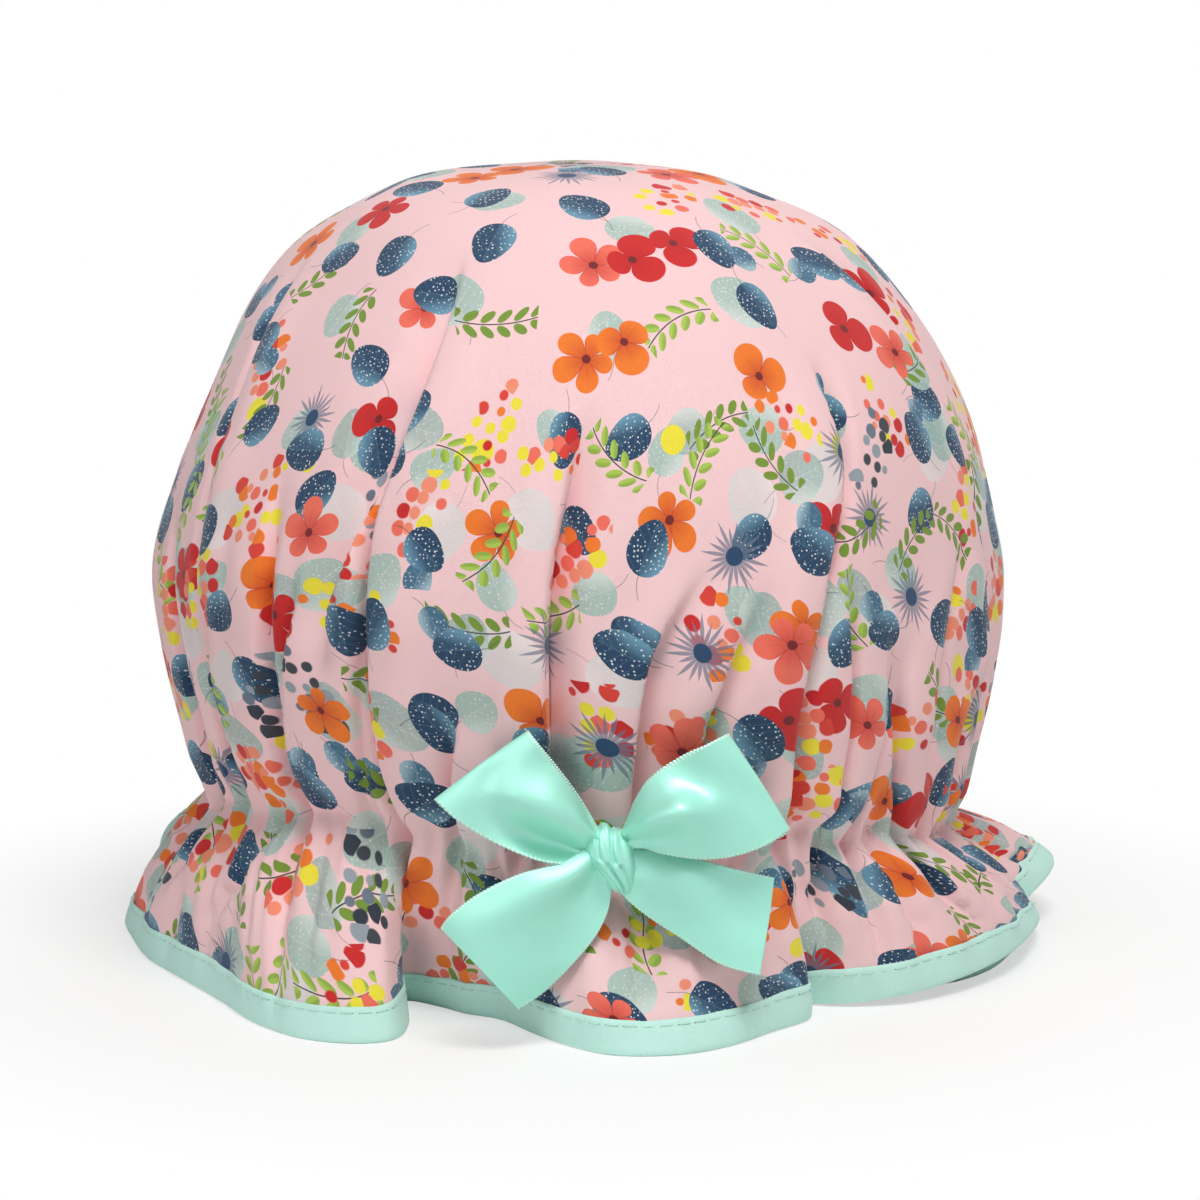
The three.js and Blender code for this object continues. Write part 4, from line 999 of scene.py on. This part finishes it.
def stitches(name, line, square, pitch, length, radius, lift):
    """Row of stitches along a closed line on the cloth: each is a short thread that dips into the cloth at its two
    ends. The line is walked at even steps."""
    steps = np.linalg.norm(np.roll(line, -1, axis=0) - line, axis=1)
    walked = np.concatenate([[0], np.cumsum(steps)])
    count = int(round(walked[-1] / pitch))
    at = walked[-1] * (np.arange(count) + 0.5) / count
    looped = np.vstack([line, line[:1]])
    place, ahead, behind = (np.stack([np.interp((at + d) % walked[-1], walked, looped[:, k]) for k in range(3)], -1)
                            for d in (0, length / 2, -length / 2))
    up = np.stack([np.interp(at, walked, np.append(square[:, k], square[0, k])) for k in range(3)], -1)
    along = (ahead - behind) / np.linalg.norm(ahead - behind, axis=1, keepdims=True)
    sideways = np.cross(up, along)
    turn = np.arange(STITCH_SIDES) * 2 * np.pi / STITCH_SIDES
    x, r, dip = STITCH_STATIONS.T
    rise = r[:, None] * np.sin(turn) * radius + (dip * radius * 1.5 + lift)[:, None]
    points = (place[:, None, None] + along[:, None, None] * (x * length / 2)[:, None, None]
              + sideways[:, None, None] * (r[:, None] * np.cos(turn))[..., None] * radius
              + up[:, None, None] * rise[..., None])
    stations = len(x)
    row, col = quads(stations, STITCH_SIDES)
    sides = (row * STITCH_SIDES + col)[:, OTHER_WAY_ROUND]
    ends = np.array([np.arange(STITCH_SIDES)[::-1], (stations - 1) * STITCH_SIDES + np.arange(STITCH_SIDES)])
    first = np.arange(count)[:, None, None] * stations * STITCH_SIDES
    loops = np.concatenate([(first + sides).reshape(-1), (first + ends).reshape(-1)])
    sizes = np.concatenate([np.full(count * len(sides), 4), np.full(count * 2, STITCH_SIDES)])
    along_thread = np.repeat(x, STITCH_SIDES)[loops % (stations * STITCH_SIDES)]
    uv = np.stack([along_thread, 0 * along_thread], -1)
    return build(name, points.reshape(-1, 3), loops, np.cumsum(sizes) - sizes, uv)


def seam_line(rows_at, height):
    """The cloth's face along a line at a height on it, and the direction square to the cloth there."""
    rows = rows_at(height + np.array([0.8, 0, -0.8]))
    return rows[1], outward(rows)[1]


def thread_paint_on(piece, name, colour, hole_shade):
    """Twisted thread: fine slanting ridges with a soft shine, and painted shade in the grooves of its twist. Painted
    shade also darkens it where it dips into the needle's holes.
    """
    made, tree, shader = finish(name, Roughness=0.6, Sheen_Weight=0.2)
    x, y, z = parts(wire(node(tree, "TexCoord"), "Object"))
    twist = sine((x + y + z) * (2 * np.pi / (0.35 * MM)))
    # Painted shade: the colour is a little darker in the twist's grooves, where the ridges are lowest
    tint = inked(tree, BLACK, linear(*colour), clipped(0.9 + 0.1 * twist))
    # Painted shade: near both ends, where the thread dips into the needle's holes, it takes the given dark colour
    end = clipped((size_of(parts(wire(node(tree, "UVMap", uv_map="cloth")))[0]) - 0.72) * 9)
    tint = inked(tree, tint, linear(*hole_shade), end)
    tree.links.new(tint.socket, shader.inputs["Base Color"])
    roughened(tree, shader, twist, 0.03)
    piece.data.materials.append(made)


SEAM_RISE, TAPE_FACE = 6.6, 0.85
for label, height in (("upper", SEAM_RISE), ("lower", -SEAM_RISE)):
    line, square = seam_line(wall, height)
    seam = stitches(f"casing_stitches_{label}", line - square * TAPE_FACE, -square, pitch=3.0, length=2.1, radius=0.2,
                    lift=0.0)
    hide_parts(f"casing_seam_{label}")
    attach(seam, "cap")
    # The second colour is painted shade, laid on each stitch's ends where they dip into the needle's holes
    thread_paint_on(seam, f"white_thread_{label}", (238, 236, 230), (190, 188, 182))

# Hem binding. A strip of plain mint cotton, cut on the bias, is folded over the edge of both cloths and closed by
# one row of stitches 2 mm inside its upper edge.

BINDING_WIDTH, BINDING_CLOTH, LAYERS = 12, 0.5, 1.1
# Section of the folded strip: distance above the hem's lowest line, and distance outwards from the cotton's face
inner, outer = -LAYERS - 0.1, 0.1
back, front = inner - BINDING_CLOTH, outer + BINDING_CLOTH
BINDING_SECTION = np.array([
    (BINDING_WIDTH, outer), (BINDING_WIDTH + 0.1, outer + BINDING_CLOTH / 2), (BINDING_WIDTH, front),
    (10.5, front + 0.1), (8, front + 0.2), (5, front + 0.2), (2.5, front + 0.15), (1.1, front), (0.35, 0.25),
    (0, -0.5), (0.35, -1.25), (1.1, back), (2.5, back - 0.1), (6, back - 0.1), (10, back), (BINDING_WIDTH, back),
    (BINDING_WIDTH, inner), (6, inner), (1.5, inner), (1.1, -0.5), (1.5, outer), (6, outer),
])


def skirt(heights):
    """The cotton's outer face, in rows for heights above the hem."""
    return frill(heights[:, None] + 0 * slants)


binding_grid = hugging(BINDING_SECTION, skirt, np.linspace(12.5, 0, 8))
binding_grid[..., 2] = np.maximum(binding_grid[..., 2], 0)
binding, binding_length = ring_band("hem_binding_strip", binding_grid)
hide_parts("hem_binding")
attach(binding, "cap")
MINT_CLOTH = (209, 254, 243)
cloth_paint_on(binding, "binding_cotton", MINT_CLOTH, thread=0.4, deep=0.06, roughness=0.85, sheen=0.15,
               scale=(binding_length, 1))

# Hem stitches. One row of thick mint thread goes through the binding and both cloths and closes the fold. Each
# stitch disappears in the needle's holes at its two ends.

STITCH_RISE = 10
# The second colour is painted shade, laid on the mint thread's ends where they dip into the needle's holes
HEM_THREAD, NEEDLE_HOLE_SHADE = (200, 248, 235), (70, 110, 102)
line, square = seam_line(skirt, STITCH_RISE)
hem_stitches = stitches("hem_stitches", line + square * (front + 0.1), square, pitch=5.4, length=4.3,
                        radius=0.24, lift=0.02)
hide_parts("hem_seam")
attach(hem_stitches, "cap")
thread_paint_on(hem_stitches, "mint_thread", HEM_THREAD, NEEDLE_HOLE_SHADE)

# Bow. One length of double-faced satin ribbon, 35 mm wide, is tied with two loops and two tails. Each is drawn here
# from the knot outwards. Its places are millimetres right of, above and in front of the knot's centre.

KNOT = np.array([9.4, -137, 56.5])
RIBBON_WIDTH, RIBBON_THICKNESS = 35, 0.4
PICOT, PICOT_PITCH, ROW_STEP = 0.22, 1.15, 0.27
LOOP_LEFT = [
    [(-3.2, 6.8, 2), (-3.6, 6.1, 4), (-4.1, 4.2, 1), (-4.5, 3.5, 3.5), (-5, 2, 2)],
    [(-6.7, 12.3, 4), (-7, 9.8, 7), (-7.6, 6.1, 5), (-8.5, 2.2, 2), (-9.6, -0.2, 5.5)],
    [(-9.6, 18.4, 4.5), (-11.2, 15.5, 9.5), (-12.6, 10.9, 9), (-13.8, 4, 1), (-14.6, -0.5, 6.5)],
    [(-13.1, 23.8, 5), (-16.7, 20.4, 11), (-19.4, 15.2, 12), (-21.5, 7, 2.5), (-22.4, 1.3, 8)],
    [(-17.4, 29.6, 6), (-23.2, 25.2, 10), (-27.9, 19.8, 11.5), (-31.6, 12.6, 6.5), (-34, 6.3, 8)],
    [(-21.2, 35.3, 7.5), (-28.1, 30.2, 8), (-34.4, 24.6, 7.5), (-39.9, 19, 8), (-44.7, 12.9, 8)],
    [(-24.1, 38.6, 5), (-31.1, 33.8, 5.5), (-37.9, 28.8, 5.5), (-44.6, 23.6, 5.5), (-51.2, 18.2, 5)],
    [(-22.1, 35.2, 1), (-29.1, 30.5, 1.5), (-35.7, 25.5, 1.5), (-42.1, 20.3, 1.5), (-48.2, 14.9, 1)],
    [(-16.1, 27.4, -0.5), (-21.6, 22.9, 0), (-26.6, 17.9, 0), (-31, 12.3, 0), (-34.8, 6.2, -0.5)],
    [(-9.6, 18.4, -1), (-12.9, 14.4, -1), (-15.7, 9.8, -1.5), (-17.8, 4.9, -1), (-19.3, -0.5, -1)],
    [(-3.8, 8.5, -1), (-4.5, 6.9, 1), (-5.3, 4.3, -1), (-6, 2.7, 1), (-6.7, 0.1, -1)],
]
LOOP_RIGHT = [
    [(3.2, 8, 2), (3.8, 7.2, 4), (4.4, 5.4, 1), (5, 4.7, 3.5), (5.6, 3.2, 2)],
    [(5.3, 13.3, 3), (6.3, 11.5, 6), (7.3, 9.2, 7), (8.3, 6.1, 4), (9.3, 3.9, 5)],
    [(7.3, 18.1, 3), (10.2, 16, 8.5), (12.6, 13.1, 12.5), (14.5, 7.3, 6), (15.8, 2.1, 5)],
    [(11.4, 24.3, 3), (16.4, 20.9, 9), (20.6, 16.7, 15.5), (24.2, 8.9, 9), (26.9, 0.6, 5)],
    [(18.6, 29.2, 4), (24.5, 23.4, 6), (29.4, 17.4, 9), (33.7, 9.8, 7), (37, 2, 6)],
    [(27.2, 34.5, 6.5), (32.5, 27.4, 6), (37.4, 20.1, 5.5), (41.8, 12.8, 6), (45.7, 5.4, 6.5)],
    [(34, 37.2, 2.5), (38.7, 30.3, 3), (43.3, 23.4, 3.5), (47.7, 16.2, 3), (52, 9, 2.5)],
    [(31.5, 34.8, -1), (36.2, 27.6, -0.5), (40.7, 20.3, -0.5), (45, 13, -0.5), (49.3, 5.5, -1)],
    [(20.2, 29.5, -2), (25.1, 23, -1), (29.4, 16, -1), (33.2, 8.7, -1), (36.4, 0.8, -2)],
    [(10.3, 21.8, -2), (14.4, 16.8, -2), (17.9, 11.5, -2), (20.9, 5.6, -2), (23.2, -0.7, -2)],
    [(3.8, 7.9, -1), (4.6, 6.9, 1), (5.3, 4.9, -1), (6, 3.9, 1), (6.8, 1.9, -1)],
]
TAIL_LEFT = [
    [(-3.8, 2.8, 0), (-2.8, 1.7, 2), (-1.7, -0.2, 0), (-0.7, -1.3, 2), (0.3, -3.2, 0)],
    [(-7.9, 2.8, 3), (-5.9, 0.3, 4.5), (-3.9, -3.1, 2), (-2, -5.7, 3), (0, -8.9, 1.5)],
    [(-14.6, -0.4, 6), (-10.7, -3.8, 8), (-7.2, -8.9, 2), (-3.9, -12.4, 1.5), (-0.9, -15.4, 2)],
    [(-26.5, -3.1, 8.5), (-20.1, -8.4, 11), (-14.3, -14.7, 5.5), (-9.1, -19.4, 3), (-4.4, -22.8, 2.5)],
    [(-38.1, -8.5, 9.5), (-30.8, -14.2, 12.5), (-23.9, -20.6, 9.5), (-17.3, -26.3, 5.5), (-10.8, -30.7, 3.5)],
    [(-46.3, -14.6, 10), (-39.4, -20.7, 12), (-32.6, -26.7, 12), (-25.8, -32.7, 9.5), (-19.1, -38.9, 4.5)],
    [(-49.6, -19.1, 9), (-43.5, -25.1, 11), (-37.7, -31, 12), (-32.3, -37.1, 11.5), (-27.2, -43.8, 7.5)],
]
TAIL_RIGHT = [
    [(4.7, 3.4, 0), (3.6, 1.9, 2), (2.5, -0.5, 0), (1.4, -2, 2), (0.3, -4.4, 0)],
    [(9.4, 2.2, 0), (7.8, -0.6, 2), (6.3, -3.7, 2.5), (4.8, -6.9, 2.5), (3.2, -10.2, 2.5)],
    [(16.7, 1, 0), (15, -2.8, 3), (13.3, -7, 4.5), (11.7, -12, 2.5), (10, -16.5, 2.5)],
    [(27, -1.1, 0), (25.3, -6.2, 3), (23.7, -11.7, 4), (22.2, -17.8, 3), (20.6, -23.7, 2.5)],
    [(37.9, -4.1, -1), (36.5, -10.9, 0), (35.1, -17.6, 1.5), (33.7, -24.3, 3), (32.3, -31.3, 3.5)],
    [(48, -6.7, -2), (47.2, -13.8, -1), (46.2, -20.7, 0.5), (45, -27.5, 2.5), (43.8, -34.5, 4)],
]
ACROSS = 25


def ribbon(name, places):
    """Ribbon through a net of places. Cubic curves run through the net along and across the ribbon, rows are spaced
    evenly along it, and its two faces stand half the ribbon's thickness to either side. Small loops of weft stand
    out of its woven edges."""
    net = np.asarray(places, float)
    steps = np.linalg.norm(np.diff(through(net, np.linspace(0, 1, 600)), axis=0), axis=-1).mean(1)
    walked = np.concatenate([[0], np.cumsum(steps)])
    rows = int(walked[-1] / ROW_STEP)
    shares = np.interp(np.linspace(0, walked[-1], rows), walked, np.linspace(0, 1, 600))
    lengthwise = through(net, shares)
    across = (1 - np.cos(np.linspace(0, np.pi, ACROSS))) / 2 * 0.5 + np.linspace(0, 1, ACROSS) * 0.5
    face = np.swapaxes(through(np.swapaxes(lengthwise, 0, 1), across), 0, 1)
    face = KNOT + np.stack([face[..., 0], -face[..., 2], face[..., 1]], -1)
    along = np.linspace(0, walked[-1], rows)
    sideways = np.gradient(face, axis=1)
    square = np.cross(np.gradient(face, axis=0), sideways)
    square /= np.linalg.norm(square, axis=-1, keepdims=True)
    picot = PICOT * (0.5 + 0.5 * np.sin(along * 2 * np.pi / PICOT_PITCH))[:, None]
    for edge, sign in ((0, -1), (-1, 1)):
        way = sideways[:, edge] / np.linalg.norm(sideways[:, edge], axis=-1, keepdims=True)
        face[:, edge] += sign * way * picot
    half = square * RIBBON_THICKNESS / 2
    tube = np.concatenate([face + half, (face - half)[:, ::-1]], axis=1)
    cols = 2 * ACROSS
    row, col = quads(rows, cols)
    sides = row * cols + col
    c = np.arange(ACROSS - 1)
    last = (rows - 1) * cols
    start = np.stack([c, c + 1, cols - 2 - c, cols - 1 - c], -1)
    end = np.stack([last + c, last + cols - 1 - c, last + cols - 2 - c, last + c + 1], -1)
    faces = np.concatenate([sides, start, end])
    width = np.concatenate([across, across[::-1]]) * RIBBON_WIDTH
    uv = np.stack([np.tile(width, rows), np.repeat(along, cols)], -1)[faces.reshape(-1)]
    return build(name, tube.reshape(-1, 3), faces.reshape(-1), np.arange(len(faces)) * 4, uv)


# Satin: fine threads along the ribbon, with painted sheen that makes their raised tops a little paler, and woven edges
# with a painted highlight on the tops of the weft's loops that stand out
satin, tree, shader = finish(
    "mint_satin", Metallic=0.3, Roughness=0.42, Specular_IOR_Level=1.0, Sheen_Weight=0.2, Sheen_Roughness=0.35)
u, v, _ = parts(wire(node(tree, "UVMap", uv_map="cloth")))
warp = sine(u * (2 * np.pi / 0.32)) * 0.5 + wire(node(tree, "TexNoise", {
    "Vector": vector(tree, u * 3.0, v * 0.08), "Scale": 1.0, "Detail": 2.0}, noise_dimensions="2D"))
weft = sine(v * (2 * np.pi / PICOT_PITCH))
edge = clipped((1.3 - larger(RIBBON_WIDTH / 2 - size_of(u - RIBBON_WIDTH / 2), 0.0)) * 2)
# Painted sheen: the colour is a little paler where the threads stand highest
tint = inked(tree, linear(165, 240, 220), linear(171, 243, 224), warp)
# Painted highlight: the woven edges grow paler towards the top of each loop of weft
tint = inked(tree, tint, linear(222, 250, 240), edge * (0.45 + 0.45 * weft))
tree.links.new(tint.socket, shader.inputs["Base Color"])
roughened(tree, shader, warp + edge * weft * 4, 0.012)

for label, places in (("loop_left", LOOP_LEFT), ("loop_right", LOOP_RIGHT), ("tail_left", TAIL_LEFT),
                      ("tail_right", TAIL_RIGHT)):
    strip = ribbon(f"satin_{label}", places)
    strip.data.materials.append(satin)
    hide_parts(f"bow_{label}")
    tuple((KNOT + (*AXIS / MM, 0) + (1.0 * places[2][2][0], 0, 1.0 * places[2][2][1])) * MM)
    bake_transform(strip)

# Knot. The ribbon passes once round the middle of the bow, crushed to less than half its width, with its creases
# running down round it.

KNOT_WIDE, KNOT_DEEP, KNOT_HIGH = 7.4, 7.2, 10.4
# Each crease's place across the knot, its drift as it runs round, its width and its depth
CREASES = [
    (-0.62, 0.1, 0.1, 0.5), (-0.2, -0.12, 0.05, 1.1), (-0.02, 0.16, 0.07, 0.5), (0.34, -0.08, 0.06, 1.2),
    (0.66, 0.06, 0.12, 0.6),
]
turn, across = np.meshgrid(np.linspace(0, 2 * np.pi, 97)[:-1], np.linspace(-1, 1, 49), indexing="xy")
rim = np.maximum(1 - np.abs(across) ** 2.8, 0) ** 0.42
low = smooth(-np.sin(turn))
slanted = across + 0.3 * np.sin(turn) + 0.08 * np.sin(3 * turn + 1)
creases = sum(deep * bell((slanted - at - drift * np.cos(turn * 1.5)) / wide) for at, drift, wide, deep in CREASES)
x = KNOT_WIDE * across * (1 - 0.45 * low * rim) + 2.6 * low * rim
y = -rim * (KNOT_DEEP - creases) * np.cos(turn)
z = rim * (KNOT_HIGH - creases + 0.9 * low) * np.sin(turn)
TILT = np.radians(12)
knot_grid = KNOT + np.stack([x * np.cos(TILT) - z * np.sin(TILT) * 0.5, y, z * np.cos(TILT) - x * np.sin(TILT)], -1)
rows, cols = turn.shape
row, col = quads(rows - 2, cols)
sides = (row * cols + col)[:, OTHER_WAY_ROUND].reshape(-1) + 1
here = np.arange(cols)
ahead = (here + 1) % cols
last = (rows - 3) * cols + 1
fans = np.stack([0 * here, ahead + 1, here + 1, last + here, last + ahead, 0 * here + (rows - 2) * cols + 1], -1)
starts = np.concatenate([np.arange(len(sides) // 4) * 4, len(sides) + np.arange(2 * cols) * 3])
points = knot_grid.reshape(-1, 3)[cols - 1:1 - cols]
loops = np.concatenate([sides, fans.reshape(-1)])
on_ribbon = np.stack([RIBBON_WIDTH / 2 + 8 * across, 10 * np.cos(turn)], -1).reshape(-1, 2)[cols - 1:1 - cols]
knot = build("satin_knot", points, loops, starts, on_ribbon[loops])
knot.data.materials.append(satin)
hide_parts("bow_knot")
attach(knot, "cap")

# Tack. A shank of mint thread, wound round itself, holds the knot to the cap. It fills the place between the knot's
# back and the cloth.

low, high = (np.array(corner) / MM - (*AXIS / MM, 0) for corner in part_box("bow_tack"))
turn, along = np.meshgrid(np.linspace(0, 2 * np.pi, 37)[:-1], np.linspace(0, 1, 41))
radius = (high[0] - low[0]) / 2 * (1 - 0.07 * (1 - np.cos(turn + along * 14 * np.pi))) * np.minimum(
    1, 8 * np.minimum(along, 1 - along) + 0.25)
shank = np.stack([(low[0] + high[0]) / 2 + radius * np.cos(turn), low[1] + (high[1] - low[1]) * along,
                  (low[2] + high[2]) / 2 + radius * np.sin(turn)], -1)
rows, cols = turn.shape
row, col = quads(rows, cols)
sides = (row * cols + col).reshape(-1)
ends = np.concatenate([np.arange(cols), (rows - 1) * cols + np.arange(cols)[::-1]])
starts = np.concatenate([np.arange(len(sides) // 4) * 4, len(sides) + np.array([0, cols])])
loops = np.concatenate([sides, ends])
tack = build("thread_shank", shank.reshape(-1, 3), loops, starts, np.zeros((len(loops), 2)))
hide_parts("bow_tack")
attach(tack, "cap")
thread_paint_on(tack, "shank_thread", HEM_THREAD, NEEDLE_HOLE_SHADE)

size = {"cad": [list(corner) for corner in cad_box], "visual": [list(corner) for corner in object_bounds()]}
